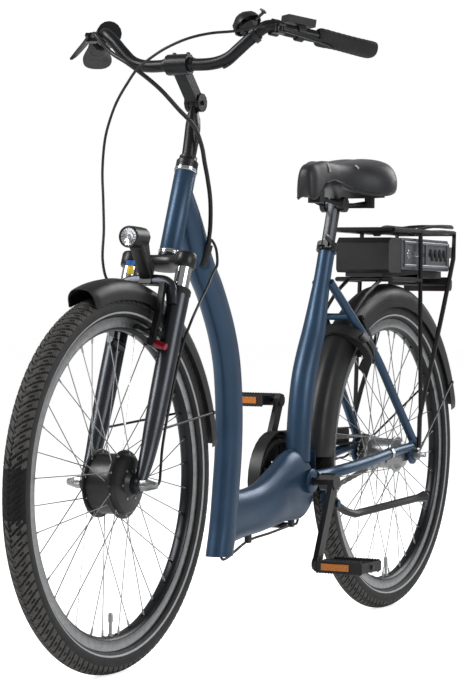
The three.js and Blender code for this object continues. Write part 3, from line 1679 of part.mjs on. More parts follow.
function bell() {
  const half = controlClampWidth / 3;
  const collar = disc(controlClampRadius, -half, half, 12);
  const rim = bellRise + bellWall * 2.5 + 2 * gap;
  const post = rod(at(0, 0, 0), at(0, 0, rim + bellHeight * 0.95), bellPostRadius, 8);
  const plinth = rod(at(0, 0, 0), at(0, 0, bellRise + bellWall), 2 * bellPostRadius, 8, bellRadius * 0.7);
  const barBore = disc(controlBore + 2 * gap, -2 * bellRadius, 2 * bellRadius, 12);
  const dome = upright(turned([
    [0, rim + bellHeight],
    [bellRadius * 0.55, rim + bellHeight * 0.88],
    [bellRadius * 0.9, rim + bellHeight * 0.5],
    [bellRadius, rim],
    [bellRadius - bellWall, rim],
    [bellRadius * 0.9 - bellWall, rim + bellHeight * 0.46],
    [bellRadius * 0.55 - bellWall / 2, rim + bellHeight * 0.8],
    [0, rim + bellHeight * 0.9],
  ], 12));
  return join(cut(join(collar, post, plinth), barBore), dome);
}

function bellLever() {
  const start = bellRise + bellWall + gap;
  const thickness = bellWall * 1.2;
  const hub = upright(ring(bellPostRadius + gap, 2.5 * bellPostRadius, start, start + thickness, 10));
  const arm = box(
    2 * bellPostRadius, bellLeverReach, -bellPostRadius, bellPostRadius, start, start + thickness,
  );
  const thumb = box(
    bellLeverReach - bellPostRadius,
    bellLeverReach,
    -2 * bellPostRadius,
    2 * bellPostRadius,
    start,
    start + 2 * bellPostRadius,
  );
  return join(hub, arm, thumb).rotateZ(bellLeverAngle);
}

// Seat, in the seat tube's frame: x forward of the tube, z up from its top

function seatClamp() {
  const collar = upright(disc(clampRadius, -clampHeight + clampLip, clampLip, 12));
  const ears = box(
    seatTubeRadius, clampEarReach - clampLip, -clampEarHalfWidth, clampEarHalfWidth,
    -clampHeight + 2 * clampLip, clampLip / 2,
  );
  const split = box(
    0, clampEarReach + overrun, -skewerRadius / 2, skewerRadius / 2, -clampHeight - overrun, clampHeight,
  );
  const tubeHole = rod(at(0, 0, -clampHeight * 2), at(0, 0, gap), seatTubeRadius + 3 * gap, 12);
  const postHole = rod(at(0, 0, -clampHeight), at(0, 0, clampHeight), seatpostRadius + gap, 12);
  const skewer = disc(skewerRadius, -clampEarHalfWidth - overrun, clampLeverY - clampLip, 8)
    .translate(clampLeverX, 0, clampLeverZ);
  const nut = disc(2 * skewerRadius, -clampEarHalfWidth - overrun, -clampEarHalfWidth + gap, 6)
    .translate(clampLeverX, 0, clampLeverZ);
  const back = box(
    clampLeverX - clampLip,
    clampLeverX + clampLip,
    clampLeverY - 2 * clampLip,
    clampLeverY - clampLip - gap,
    clampLeverZ - clampLip - skewerRadius,
    clampLeverZ + clampLip + skewerRadius,
  );
  const jaws = [1, -1].map((side) => box(
    clampLeverX - clampLip,
    clampLeverX + clampLip,
    clampLeverY - clampLip - 2 * gap,
    clampLeverY + skewerRadius,
    clampLeverZ + Math.min(side * (clampLip + gap), side * (clampLip + skewerRadius)),
    clampLeverZ + Math.max(side * (clampLip + gap), side * (clampLip + skewerRadius)),
  ));
  const pinHole = rod(
    at(clampLeverX, clampLeverY, clampLeverZ - clampHeight),
    at(clampLeverX, clampLeverY, clampLeverZ + clampHeight),
    skewerRadius + gap,
    8,
  );
  const body = cut(join(collar, ears), split);
  return cut(join(body, skewer, nut, back, ...jaws), tubeHole, postHole, pinHole);
}

const clampLeverX = clampEarReach - 2 * clampLip;
const clampLeverY = clampEarHalfWidth + 2 * clampLip;
const clampLeverZ = -clampLip / 2;

// Along, outward and across
const clampLeverShares = [[0, 0, 1], [0.4, 0.25, 1], [0.8, 0.2, 1.1], [1, -0.05, 0.7]];

function clampLever() {
  const hub = upright(disc(clampLip - gap, -clampLip, clampLip, 10))
    .translate(clampLeverX, clampLeverY, clampLeverZ);
  const pin = rod(
    at(clampLeverX, clampLeverY, clampLeverZ - clampLip - skewerRadius),
    at(clampLeverX, clampLeverY, clampLeverZ + clampLip + skewerRadius),
    skewerRadius,
    8,
  );
  const blade = loft(clampLeverShares.map(([length, bend, wide]) => roundedRing(
    at(
      clampLeverX + length * clampLeverLength, clampLeverY + bend * clampLip,
      clampLeverZ + length * clampLip,
    ),
    yAxis,
    zAxis,
    skewerRadius,
    wide * clampLip * 0.9,
    8,
    3,
  )));
  return join(hub, pin, blade);
}

const saddlePivotUp = seatpostExposed + seatpostBarrelRadius / 2;

function seatpost() {
  const post = rod(at(0, 0, -seatpostInserted), at(0, 0, saddlePivotUp), seatpostRadius, 12, seatpostRadius);
  const barrel = disc(seatpostBarrelRadius, -seatpostBarrelHalfWidth, seatpostBarrelHalfWidth, 12)
    .translate(0, 0, saddlePivotUp);
  const around = cut(
    rod(
      at(0, 0, saddlePivotUp - seatpostBarrelRadius), at(0, 0, saddlePivotUp + 2 * seatpostBarrelRadius),
      2 * seatpostRadius, 8,
    ),
    disc(seatpostBarrelRadius, -2 * seatpostRadius, 2 * seatpostRadius, 12).translate(0, 0, saddlePivotUp),
  );
  const above = box(
    -2 * seatpostRadius,
    2 * seatpostRadius,
    -2 * seatpostRadius,
    2 * seatpostRadius,
    saddlePivotUp,
    saddlePivotUp + 2 * seatpostRadius,
  );
  const bolt = disc(skewerRadius + gap, -2 * seatpostRadius, 2 * seatpostRadius, 8)
    .translate(0, 0, saddlePivotUp);
  return cut(join(cut(post, common(around, above)), barrel), bolt);
}

// Saddle, from the rear axle's foot

const saddlePivot = at(0, 0, saddlePivotUp).applyMatrix4(seatFrame);

function saddleStation([forward, wide, top, under]) {
  return {
    x: saddleRearX + forward * saddleLength,
    halfWidth: wide * saddleHalfWidth,
    top: saddleTopZ - top * saddleDepth,
    under: saddleTopZ - under * saddleDepth,
  };
}

function saddleCushion() {
  const rings = saddleShares.map((shares) => {
    const { x, halfWidth, top, under } = saddleStation(shares);
    const half = saddleSectionShares.map(([out, up]) => [out * halfWidth, under + up * (top - under)]);
    const whole = [...half, ...half.slice(1, -1).map(([y, z]) => [-y, z]).reverse()];
    return whole.map(([y, z]) => at(x, y, z));
  });
  return skinned(rings, rings[0].map((point) => new THREE.Vector2(point.y, point.z)));
}

function saddleBase() {
  const rings = saddleShares.filter((_, i) => i % 2 === 1).slice(1, -1).map((shares) => {
    const { x, halfWidth, under } = saddleStation(shares);
    const ceiling = under - 2 * gap;
    return roundedRing(
      at(x, 0, ceiling - saddleShellThickness / 2), yAxis, zAxis, halfWidth * 0.78, saddleShellThickness / 2,
      8, 4,
    );
  });
  const shell = loft(rings);
  const railZ = saddlePivot.z;
  const rails = [1, -1].map((side) => tube([
    at(saddleRearX + saddleLength * 0.8, side * railSpacing * 0.4, railZ + 3 * railRadius),
    at(saddleRearX + saddleLength * 0.66, side * railSpacing * 0.8, railZ + railRadius),
    at(saddlePivot.x + seatpostRadius, side * railSpacing, railZ),
    at(saddlePivot.x - 2 * seatpostRadius, side * railSpacing, railZ),
    at(saddleRearX + saddleLength * 0.15, side * railSpacing * 1.3, railZ + railRadius * 2),
  ], railRadius, 8, 6));
  const cheeks = [1, -1].map((side) => disc(
    seatpostBarrelRadius + railRadius,
    side * seatpostBarrelHalfWidth + Math.min(side * gap, side * 3 * railRadius),
    side * seatpostBarrelHalfWidth + Math.max(side * gap, side * 3 * railRadius),
    12,
  ).translate(saddlePivot.x, 0, railZ));
  const bolt = disc(skewerRadius, -seatpostBarrelHalfWidth - overrun, seatpostBarrelHalfWidth + overrun, 8)
    .translate(saddlePivot.x, 0, railZ);
  const { x, under } = saddleStation(saddleShares[3]);
  const bumpers = [1, -1].map(
    (side) => rod(
      at(x, side * 1.8 * railSpacing, railZ - railRadius), at(x, side * 1.8 * railSpacing, under - 4 * gap),
      bumperRadius, 8,
    ),
  );
  const bumperBar = box(
    x - railRadius, x + railRadius, -1.8 * railSpacing, 1.8 * railSpacing, railZ - railRadius,
    railZ + 2 * railRadius,
  );
  const noseBlock = box(
    saddleRearX + saddleLength * 0.74,
    saddleRearX + saddleLength * 0.82,
    -railSpacing * 0.6,
    railSpacing * 0.6,
    railZ,
    saddleTopZ - saddleDepth * 0.68,
  );
  return join(shell, ...rails, ...cheeks, bolt, ...bumpers, bumperBar, noseBlock);
}

// Rack

const rackRail = (points, radius, steps) => tube(points, radius, steps, rackTubeSides);

function rackFrame() {
  const slant = [
    at(rackFrontX, rackHalfWidth, rackDeckZ),
    at(rackRearX * 0.4, rackHalfWidth, rackDeckZ),
    at(rackRearX * 0.97, rackHalfWidth, rackDeckZ),
    at(rackRearX, rackHalfWidth, rackDeckZ - 3 * rackTubeRadius),
    at(rackRearX * 0.93, rackHalfWidth, rackDeckZ - 10 * rackTubeRadius),
    at(
      rackRearX * 0.55, rackHalfWidth + rackTubeRadius * 0.6,
      (rackDeckZ + rackLegFootZ) / 2 - 4 * rackTubeRadius,
    ),
    at(rackRearX * 0.22, rackLegFootY - rackTubeRadius * 0.4, rackLegFootZ + 9 * rackTubeRadius),
    at(rackEyeX, rackLegFootY, rackLegFootZ),
    at(rackEyeX, rackEyeY, rackEyeZ),
  ];
  const rail = rackRail(slant, rackTubeRadius, 13);
  const leg = rackRail([
    at(rackLegX, rackHalfWidth, rackDeckZ),
    at(rackLegX * 0.75, (rackHalfWidth + rackLegFootY) / 2, (rackDeckZ + rackLegFootZ) / 2),
    at(rackEyeX, rackLegFootY, rackLegFootZ - rackTubeRadius),
  ], rackTubeRadius, 3);
  const lower = rod(
    at(dockFrontX - 2 * rackTubeRadius, rackLowerHalfWidth, rackLowerZ),
    at(rackLegX * 0.8, rackHalfWidth + rackTubeRadius * 0.6, rackLowerZ),
    rackTubeRadius,
    6,
  );
  const stayUp = stayUpAt(stayBridgeReach);
  const stayPoint = at(stayLift, 0, stayUp).applyMatrix4(stayFrame);
  const [, bend, top] = seatstayPoints();
  const stayOut = top.y + ((bend.y - top.y) * (top.x - stayPoint.x)) / (top.x - bend.x);
  const strut = rackRail([
    at(dockFrontX - 3 * rackTubeRadius, rackLowerHalfWidth * 0.6, rackLowerZ),
    at(
      (dockFrontX + stayPoint.x) / 2, (rackLowerHalfWidth * 0.6 + stayOut) / 2,
      (rackLowerZ + stayPoint.z) / 2 + rackTubeRadius,
    ),
    at(stayPoint.x, stayOut, stayPoint.z),
  ], rackCrossRadius, 4);
  const half = join(rail, leg, lower, cut(strut, seatstayTube(gap)));
  const crossAt = (x, halfWidth, z, radius) => disc(radius, -halfWidth, halfWidth, 6).translate(x, 0, z);
  const crosses = [
    crossAt(rackFrontX, rackHalfWidth, rackDeckZ, rackTubeRadius),
    crossAt(clampHingeX, rackHalfWidth, rackDeckZ, rackCrossRadius),
    crossAt((rackFrontX + clampHingeX) / 2, rackHalfWidth, rackDeckZ, rackCrossRadius),
    crossAt(rackRearX * 0.9, rackHalfWidth, rackDeckZ, rackCrossRadius),
    crossAt(dockFrontX - 3 * rackTubeRadius, rackLowerHalfWidth, rackLowerZ, rackTubeRadius),
    crossAt(
      slantAt(rackLowerZ - rackTubeRadius).x, slantAt(rackLowerZ).y, rackLowerZ - rackTubeRadius,
      rackCrossRadius,
    ),
  ];
  const lightArm = box(
    rearLightX + gap,
    slantAt(rackLowerZ).x,
    -2 * rackTubeRadius,
    2 * rackTubeRadius,
    rackLowerZ - 2 * rackTubeRadius,
    rackLowerZ - rackTubeRadius / 2,
  );
  return join(half, mirrored(half), ...crosses, lightArm);
}

// Where the slanted rear leg of the rack passes a height
function slantAt(z) {
  const high = at(rackRearX * 0.93, rackHalfWidth, rackDeckZ - 10 * rackTubeRadius);
  const low = at(
    rackRearX * 0.55, rackHalfWidth + rackTubeRadius * 0.6,
    (rackDeckZ + rackLegFootZ) / 2 - 4 * rackTubeRadius,
  );
  return high.lerp(low, (high.z - z) / (high.z - low.z));
}

const rackEyeY = rearDropoutInner + dropoutThickness + gap + rackTubeRadius;

function rackClamp() {
  const side = rackRail([
    at(clampHingeX - 1.6 * rackCrossRadius, rackClampHalfWidth * 0.72, rackDeckZ + rackCrossRadius / 2),
    at(
      (2 * clampHingeX + rackClampRearX) / 3, rackClampHalfWidth * 0.95,
      (rackDeckZ + rackClampRearZ) / 2 + rackCrossRadius,
    ),
    at(rackClampRearX + 4 * rackClampRadius, rackClampHalfWidth, rackClampRearZ - rackClampRadius),
    at(rackClampRearX, rackClampHalfWidth - 4 * rackClampRadius, rackClampRearZ),
    at(rackClampRearX, 0, rackClampRearZ),
  ], rackClampRadius, 10);
  const eye = disc(2.2 * rackCrossRadius, -2 * rackClampRadius, 2 * rackClampRadius, 8)
    .translate(clampHingeX, rackClampHalfWidth * 0.72, rackDeckZ);
  const hole = disc(rackCrossRadius + 3 * gap, -rackHalfWidth, rackHalfWidth, 8)
    .translate(clampHingeX, 0, rackDeckZ);
  const half = cut(join(side, eye), hole);
  return join(half, mirrored(half));
}

function batteryDock() {
  const body = plate([
    [dockBackX, dockBottomZ],
    [dockFrontX - batteryRound / 2, dockBottomZ],
    [dockFrontX, dockBottomZ + batteryRound / 2],
    [dockFrontX, dockTopZ - batteryRound],
    [dockFrontX - batteryRound, dockTopZ],
    [dockBackX, dockTopZ],
  ], -dockHalfWidth, dockHalfWidth);
  const floor = box(
    rackRearX * 0.9,
    dockBackX + overrun,
    -dockFloorHalfWidth,
    dockFloorHalfWidth,
    dockFloorBottom,
    dockFloorTop,
  );
  const foot = box(
    dockBackX, dockFrontX - 2 * overrun, -dockFloorHalfWidth, dockFloorHalfWidth,
    rackLowerZ + rackTubeRadius + gap, dockBottomZ + gap,
  );
  return join(body, floor, foot);
}

function battery() {
  const front = dockBackX - gap;
  const rear = front - batteryLength;
  const body = plate([
    [front, batteryBottomZ],
    [front, batteryTopZ - batteryRound / 3],
    [front - batteryRound, batteryTopZ],
    [rear + batteryRound, batteryTopZ],
    [rear, batteryTopZ - batteryRound],
    [rear, batteryBottomZ + batteryRound / 2],
    [rear + batteryRound / 2, batteryBottomZ],
  ], -batteryHalfWidth, batteryHalfWidth);
  const grooveZ = (batteryBottomZ + batteryTopZ) / 2;
  const groove = box(
    rear + 2 * batteryRound,
    front - 2 * batteryRound,
    batteryHalfWidth - gap * 5,
    batteryHalfWidth + overrun,
    grooveZ - batteryRound / 3,
    grooveZ + batteryRound / 3,
  );
  const middle = batteryTopZ - 2 * batteryRound;
  const handle = cut(
    plate([
      [rear + overrun, middle - batteryRound],
      [rear + overrun, middle + batteryRound],
      [rear - batteryHandleReach + batteryRound, middle + batteryRound],
      [rear - batteryHandleReach, middle],
      [rear - batteryHandleReach + batteryRound, middle - batteryRound],
    ], -batteryHalfWidth + batteryRound, batteryHalfWidth - batteryRound),
    box(
      rear - batteryHandleReach + 2 * batteryRound,
      rear - batteryRound / 3,
      -batteryHalfWidth + 2 * batteryRound,
      batteryHalfWidth - 2 * batteryRound,
      middle - 2 * batteryRound,
      middle + 2 * batteryRound,
    ),
  );
  return join(cut(body, groove, groove.clone().scale(1, -1, 1)), handle);
}

function rearLight() {
  const rear = rearLightX - rearLightDepth;
  const bottom = rearLightTopZ - rearLightHeight;
  return plate([
    [rearLightX, bottom],
    [rearLightX, rearLightTopZ],
    [rear + rearLightDepth / 3, rearLightTopZ],
    [rear, rearLightTopZ - rearLightHeight / 4],
    [rear, bottom + rearLightHeight / 4],
    [rear + rearLightDepth / 3, bottom],
  ], -rearLightHalfWidth, rearLightHalfWidth);
}

// Ring lock, in its own frame: y out, z away from the axle, x the way the wheel's rim runs
const lockUp = at(Math.cos(lockAngle), 0, Math.sin(lockAngle));
const lockRun = at(lockUp.z, 0, -lockUp.x);
const lockFrame = frameOf(rearHub.clone().addScaledVector(lockUp, lockCentre), lockRun, yAxis, lockUp);

// A sector about the lock's centre, from one angle to another measured from straight down to the left
function lockSector(inner, outer, from, to, halfThickness, steps) {
  const turn = (radius, angle) => new THREE.Vector2(radius * Math.sin(angle), -radius * Math.cos(angle));
  const angles = Array.from({ length: steps + 1 }, (_, i) => from + ((to - from) * i) / steps);
  const outline = [
    ...angles.map((angle) => turn(outer, angle)),
    ...angles.slice().reverse().map((angle) => turn(inner, angle)),
  ];
  const swapped = new THREE.Matrix4().makeBasis(yAxis, zAxis, xAxis);
  return new THREE.ExtrudeGeometry(
    new THREE.Shape(outline), { depth: 2 * halfThickness, bevelEnabled: false },
  )
    .translate(0, 0, -halfThickness)
    .applyMatrix4(swapped);
}

function ringLockCase() {
  const body = lockSector(
    lockBore, lockRadius, lockOpening, 2 * Math.PI - lockOpening, lockHalfThickness, 20,
  );
  const channel = lockSector(
    lockBoltRadius - lockBoltHalfSize - gap,
    lockBoltRadius + lockBoltHalfSize + gap,
    lockOpening - lockRunOut,
    lockBoltStart + lockBoltSweep + lockRunOut,
    lockBoltHalfSize + gap,
    12,
  );
  const socket = lockSector(
    lockBoltRadius - lockBoltHalfSize - gap,
    lockBoltRadius + lockBoltHalfSize + gap,
    -lockTurn + lockBoltStart - 2 * lockRunOut,
    -lockOpening + lockRunOut,
    lockBoltHalfSize + gap,
    4,
  );
  const slot = lockSector(
    lockBoltRadius,
    lockRadius + overrun,
    lockKnobAngle - lockTurn - 2 * lockRunOut,
    lockKnobAngle + 2 * lockRunOut,
    lockSlotHalfSize / 2 + gap,
    8,
  );
  const side = mudguardSectionShares.map(([out, drop]) => [
    out * (mudguardHalfWidth + mudguardWall),
    rearMudguardRadius + mudguardWall - lockCentre - drop * rearMudguardSkirt,
  ]);
  side.push([mudguardHalfWidth + mudguardWall, -lockRadius / 4]);
  const outline = [...side, ...side.slice(1).map(([y, z]) => [-y, z]).reverse()];
  const throat = new THREE.ExtrudeGeometry(
    new THREE.Shape(outline.map(([y, z]) => new THREE.Vector2(y, z))),
    { depth: 4 * lockHalfThickness, bevelEnabled: false },
  ).translate(0, 0, -2 * lockHalfThickness).applyMatrix4(new THREE.Matrix4().makeBasis(yAxis, zAxis, xAxis));
  const intoLock = lockFrame.clone().invert();
  const foot = cut(
    box(
      -lockHalfThickness - lockFootDepth,
      -lockHalfThickness + overrun,
      lockRadius - 1.5 * lockFootSize,
      lockRadius - lockFootSize / 2,
      -lockFootDrop - lockFootSize / 2,
      -lockFootDrop + lockFootSize / 2,
    ),
    moved(seatstayTube(gap), intoLock),
  );
  return cut(join(body, foot, mirrored(foot)), channel, socket, slot, throat);
}

function ringLockBolt() {
  const bolt = lockSector(
    lockBoltRadius - lockBoltHalfSize,
    lockBoltRadius + lockBoltHalfSize,
    lockBoltStart,
    lockBoltStart + lockBoltSweep,
    lockBoltHalfSize,
    10,
  );
  const knob = join(
    lockSector(
      lockBoltRadius, lockKnobReach, lockKnobAngle - lockRunOut, lockKnobAngle + lockRunOut,
      lockSlotHalfSize / 2, 2,
    ),
    lockSector(
      lockRadius + gap * 3, lockKnobReach, lockKnobAngle - lockKnobBehind, lockKnobAngle + lockKnobAhead,
      lockSlotHalfSize, 3,
    ),
  );
  return join(bolt, knob);
}

// Drive

function toothedOutline(teeth, pitchRadius) {
  const step = (2 * Math.PI) / teeth;
  return Array.from({ length: teeth }, (_, i) => [
    polar(0, 0, pitchRadius + toothHeight, (i - 0.08) * step),
    polar(0, 0, pitchRadius + toothHeight, (i + 0.08) * step),
    polar(0, 0, pitchRadius - toothRootDepth, (i + 0.5) * step),
  ]).flat();
}

function sprocket() {
  const disc1 = plate(
    toothedOutline(sprocketTeeth, sprocketRadius), -chainLine - sprocketHalfThickness,
    -chainLine + sprocketHalfThickness,
  );
  const boss = disc(rearHubEndRadius + overrun, -chainLine - 2 * overrun, -rearHubRight - gap, 12);
  return cut(join(disc1, boss), disc(rearAxleRadius + gap, -rearAxleRight, 0, 12));
}

// The chain closes round both wheels; each link has a waist, and the teeth run in a groove
function chain() {
  const centres = at(bracketX, 0, bracketZ - tyreRadius);
  const span = centres.length();
  const lean = Math.asin((chainringRadius - sprocketRadius) / span);
  const heading = Math.atan2(centres.z, centres.x);
  const run = Math.sqrt(span * span - (chainringRadius - sprocketRadius) ** 2);
  const frontWrap = Math.PI + 2 * lean;
  const rearWrap = Math.PI - 2 * lean;
  const total = 2 * run + frontWrap * chainringRadius + rearWrap * sprocketRadius;
  const links = 2 * Math.round(total / (2 * chainPitch));
  const topAngle = heading + Math.PI / 2 + lean;
  const place = (distance, offset) => {
    let d = distance;
    if (d < frontWrap * chainringRadius) {
      return polar(bracketX, bracketZ, chainringRadius + offset, topAngle - d / chainringRadius);
    }
    d -= frontWrap * chainringRadius;
    const lowAngle = topAngle - frontWrap;
    if (d < run) {
      const [x, z] = polar(bracketX, bracketZ, chainringRadius + offset, lowAngle);
      return [x + d * Math.cos(lowAngle - Math.PI / 2), z + d * Math.sin(lowAngle - Math.PI / 2)];
    }
    d -= run;
    if (d < rearWrap * sprocketRadius) {
      return polar(0, tyreRadius, sprocketRadius + offset, lowAngle - d / sprocketRadius);
    }
    d -= rearWrap * sprocketRadius;
    const [x, z] = polar(0, tyreRadius, sprocketRadius + offset, topAngle);
    return [x + d * Math.cos(topAngle - Math.PI / 2), z + d * Math.sin(topAngle - Math.PI / 2)];
  };
  const outside = Array.from({ length: links }, (_, i) => {
    const half = i % 2 === 0 ? chainPinHalfHeight : chainWaistHalfHeight;
    return place((total * i) / links, half);
  });
  const inside = Array.from(
    { length: links / 2 }, (_, i) => place((2 * total * i) / links, -chainPinHalfHeight),
  );
  const band = cut(
    plate(outside, -chainLine - chainHalfWidth, -chainLine + chainHalfWidth),
    plate(inside, -chainLine - chainHalfWidth - overrun, -chainLine + chainHalfWidth + overrun),
  );
  const grooveHalf = sprocketHalfThickness + gap;
  const frontGroove = disc(
    chainringRadius + toothHeight + 2 * gap, -chainLine - grooveHalf, -chainLine + grooveHalf, 36,
  )
    .translate(bracketX, 0, bracketZ);
  const rearGroove = disc(
    sprocketRadius + toothHeight + 2 * gap, -chainLine - grooveHalf, -chainLine + grooveHalf, 24,
  )
    .translate(0, 0, tyreRadius);
  return cut(band, frontGroove, rearGroove);
}

function crankArm(side, angle) {
  const [eyeX, eyeZ] = polar(0, 0, crankLength, angle);
  const inner = side * crankInner;
  const outer = side * crankOuter;
  const [low, high] = [Math.min(inner, outer), Math.max(inner, outer)];
  const across = angle + Math.PI / 2;
  const corner = (radius, width, share) => {
    const [x, z] = polar(0, 0, radius, angle);
    return polar(x, z, width * share, across);
  };
  const blade = plate([
    corner(0, crankBossRadius, -0.75),
    corner(crankLength, crankEyeRadius, -0.85),
    corner(crankLength, crankEyeRadius, 0.85),
    corner(0, crankBossRadius, 0.75),
  ], low + 2 * gap, high - overrun / 2);
  const boss = disc(
    crankBossRadius, side > 0 ? crankBossInner : -crankOuter, side > 0 ? crankOuter : -crankBossInner, 10,
  );
  const eye = disc(crankEyeRadius, low, high, 10).translate(eyeX, 0, eyeZ);
  const spindle = disc(
    spindleRadius, Math.min(side * crankInner, side * spindleEnd),
    Math.max(side * crankInner, side * spindleEnd), 10,
  )
    .translate(eyeX, 0, eyeZ);
  return join(blade, boss, eye, spindle);
}

function crankLeft() {
  const axle = disc(crankAxleRadius, -crankOuter + overrun, crankBossInner + overrun, 12);
  return join(crankArm(1, crankAngle), axle);
}

function crankRight() {
  const toothed = plate(
    toothedOutline(chainringTeeth, chainringRadius), -chainLine - sprocketHalfThickness,
    -chainLine + sprocketHalfThickness,
  );
  const windowInner = crankBossRadius + 2 * overrun;
  const windows = Array.from({ length: spiderArms }, (_, i) => {
    const middle = (2 * Math.PI * i) / spiderArms;
    const half = Math.PI / spiderArms - spiderArmHalfAngle;
    return plate([
      ...arcPoints(0, 0, spiderReach, middle - half, middle + half, 3),
      ...arcPoints(0, 0, windowInner, middle + half * 0.7, middle - half * 0.7, 1),
    ], -chainLine - overrun, -chainLine + overrun);
  });
  const sleeve = disc(crankBossRadius, -crankBossInner - overrun, -chainLine + sprocketHalfThickness, 12);
  const bore = disc(crankAxleRadius + gap, -crankOuter + 2 * gap, 0, 12);
  return cut(join(cut(toothed, ...windows), sleeve, crankArm(-1, crankAngle + Math.PI)), bore);
}

// A block pedal about its spindle
function pedal(side) {
  const sideOf = (a, b) => [Math.min(side * a, side * b), Math.max(side * a, side * b)];
  const [low, high] = sideOf(pedalInner, pedalOuter);
  const body = box(-pedalHalfLength, pedalHalfLength, low, high, -pedalHalfHeight, pedalHalfHeight);
  const windows = [1, -1].map((end) => box(
    Math.min(end * (pedalBarrelRadius + 2 * gap), end * (pedalHalfLength - pedalRail)),
    Math.max(end * (pedalBarrelRadius + 2 * gap), end * (pedalHalfLength - pedalRail)),
    low + pedalRail,
    high - pedalRail,
    -2 * pedalHalfHeight,
    2 * pedalHalfHeight,
  ));
  const barrel = disc(pedalBarrelRadius, low, high, 12);
  const waist = [1, -1].map((end) => box(
    -pedalHalfLength + pedalRail,
    pedalHalfLength - pedalRail,
    low - overrun,
    high + overrun,
    Math.min(end * pedalBarrelRadius, end * 2 * pedalHalfHeight),
    Math.max(end * pedalBarrelRadius, end * 2 * pedalHalfHeight),
  ));
  return cut(
    join(cut(body, ...windows, ...waist), barrel),
    disc(spindleRadius + gap, -pedalOuter - overrun, pedalOuter + overrun, 10),
  );
}

function chainGuard() {
  const stripBottom = guardStripTop - guardStripHeight;
  const outlineOf = (inset, end) => [
    ...arcPoints(bracketX, bracketZ, guardRadius - inset, guardArcStart, guardArcEnd, 26),
    [bracketX - guardRadius * 0.8, stripBottom + inset],
    [end, stripBottom + inset],
    [end, guardStripTop - guardStripHeight * 0.2 - inset],
    [end + guardStripHeight / 4, guardStripTop - inset],
  ];
  const outer = plate(outlineOf(0, guardStripEnd), -guardOuter, -guardInner);
  const inner = plate(
    outlineOf(guardWall, guardStripEnd - 2 * guardStripHeight), -guardOuter + guardWall,
    -guardInner + overrun,
  );
  const opening = box(
    bracketX - 2 * guardRadius,
    bracketX - guardRadius * 0.35,
    -guardOuter + guardWall,
    0,
    bracketZ - 2 * guardRadius,
    stripBottom - overrun,
  );
  const hole = disc(guardHole, -guardOuter - overrun, -guardInner + overrun, 16)
    .translate(bracketX, 0, bracketZ);
  const bracket = box(
    bracketX - 3 * overrun,
    bracketX - overrun,
    -guardOuter + guardWall,
    0,
    bracketZ + guardRadius - 3 * guardWall,
    bracketZ + guardRadius - guardWall / 2,
  );
  return join(cut(outer, inner, opening, hole), cut(bracket, seatTubeSkin(gap)));
}

// Cables, each by its own points

const handOf = (point, side) => {
  const world = point.clone().applyMatrix4(leftHand);
  return side > 0 ? world : flipped(world);
};

const nearHead = (x, y, z) => headTop.clone().add(at(x, y, z));
const nearPort = (x, y, z) => portAt().add(at(x, y, z));
const nearFoot = (x, y, z) => at(downTubeFootX + x, y, downTubeFootZ + z);
const nearBracket = (x, y, z) => at(bracketX + x, y, bracketZ + z);
const nearRearHub = (x, y, z) => rearHub.clone().add(at(x, y, z));
const nearFrontHub = (forward, y, up) => fromSteering(forward, y, up - forkLength);

// A cable leaves a barrel square to its end
function barrelStart(side, radius) {
  const tip = handOf(barrelTip, side);
  const out = tip.clone().sub(handOf(barrelFoot, side)).normalize();
  return [tip.clone().addScaledVector(out, gap), tip.clone().addScaledVector(out, 4 * radius)];
}

function frontBrakeCable() {
  const brakeFrame = steeringFrame.clone().multiply(legFrame);
  const noodleAt = (y) => at(frontBrakeAway, y, wireUp).applyMatrix4(brakeFrame);
  const route = [
    ...barrelStart(1, cableRadius),
    nearHead(70.4, 133, 241.8),
    nearHead(95.4, 99, 236.8),
    nearHead(110.4, 63, 227.8),
    nearHead(115.4, 21, 211.8),
    nearHead(115.4, -9, 195.8),
    nearHead(110.4, -39, 177.8),
    nearHead(105.4, -61, 154.8),
    nearHead(100.4, -85, 123.8),
    nearHead(100.4, -98, 94.8),
    nearHead(100.4, -109, 57.8),
    nearHead(105.4, -111, 0.8),
    nearHead(115.4, -103, -48.2),
    nearHead(130.4, -92, -106.2),
    nearHead(146.4, -84, -162.2),
    nearHead(153.4, -70, -195.2),
    noodleAt(-56),
    noodleAt(-38),
  ];
  const wire = rod(noodleAt(-39), noodleAt(47), cableRadius / 2, 6);
  return join(tube(route, cableRadius, 34, cableSides), wire);
}

function controlCables() {
  return tube([
    ...barrelStart(-1, bundleRadius),
    nearHead(55.4, -128, 217.8),
    nearHead(64.4, -80, 190.8),
    nearHead(48.4, -30, 149.8),
    nearHead(25.4, -2, 112.8),
    nearHead(2.4, 18, 82.8),
    nearHead(-10.6, 27, 47.8),
    nearHead(-16.6, 30, 18.8),
    nearHead(-27.6, 30, -7.2),
    nearHead(-39.6, 30, -47.2),
    nearHead(-42.6, 29, -95.2),
    nearPort(-2, 3.4, 21.3),
  ], bundleRadius, 18, cableSides);
}

function motorCable() {
  return tube([
    nearPort(-11.5, 1, 20.3),
    nearPort(-14, 3, 29),
    nearPort(-22, 7, 18),
    nearPort(-28, 8, 1),
    nearPort(-24, 10, -17),
    nearPort(-2, 13, -33),
    nearPort(31, 20, -57),
    nearFrontHub(-40.3, 54, 358),
    nearFrontHub(-13.2, 62, 319),
    nearFrontHub(4, 64, 268.3),
    nearFrontHub(8, 63, 178.3),
    nearFrontHub(10, 66, 78.3),
    nearFrontHub(14, 73, 38.3),
    nearFrontHub(22, 80, 12.3),
    nearFrontHub(31, 81, 1.3),
  ], cableRadius, 22, cableSides);
}

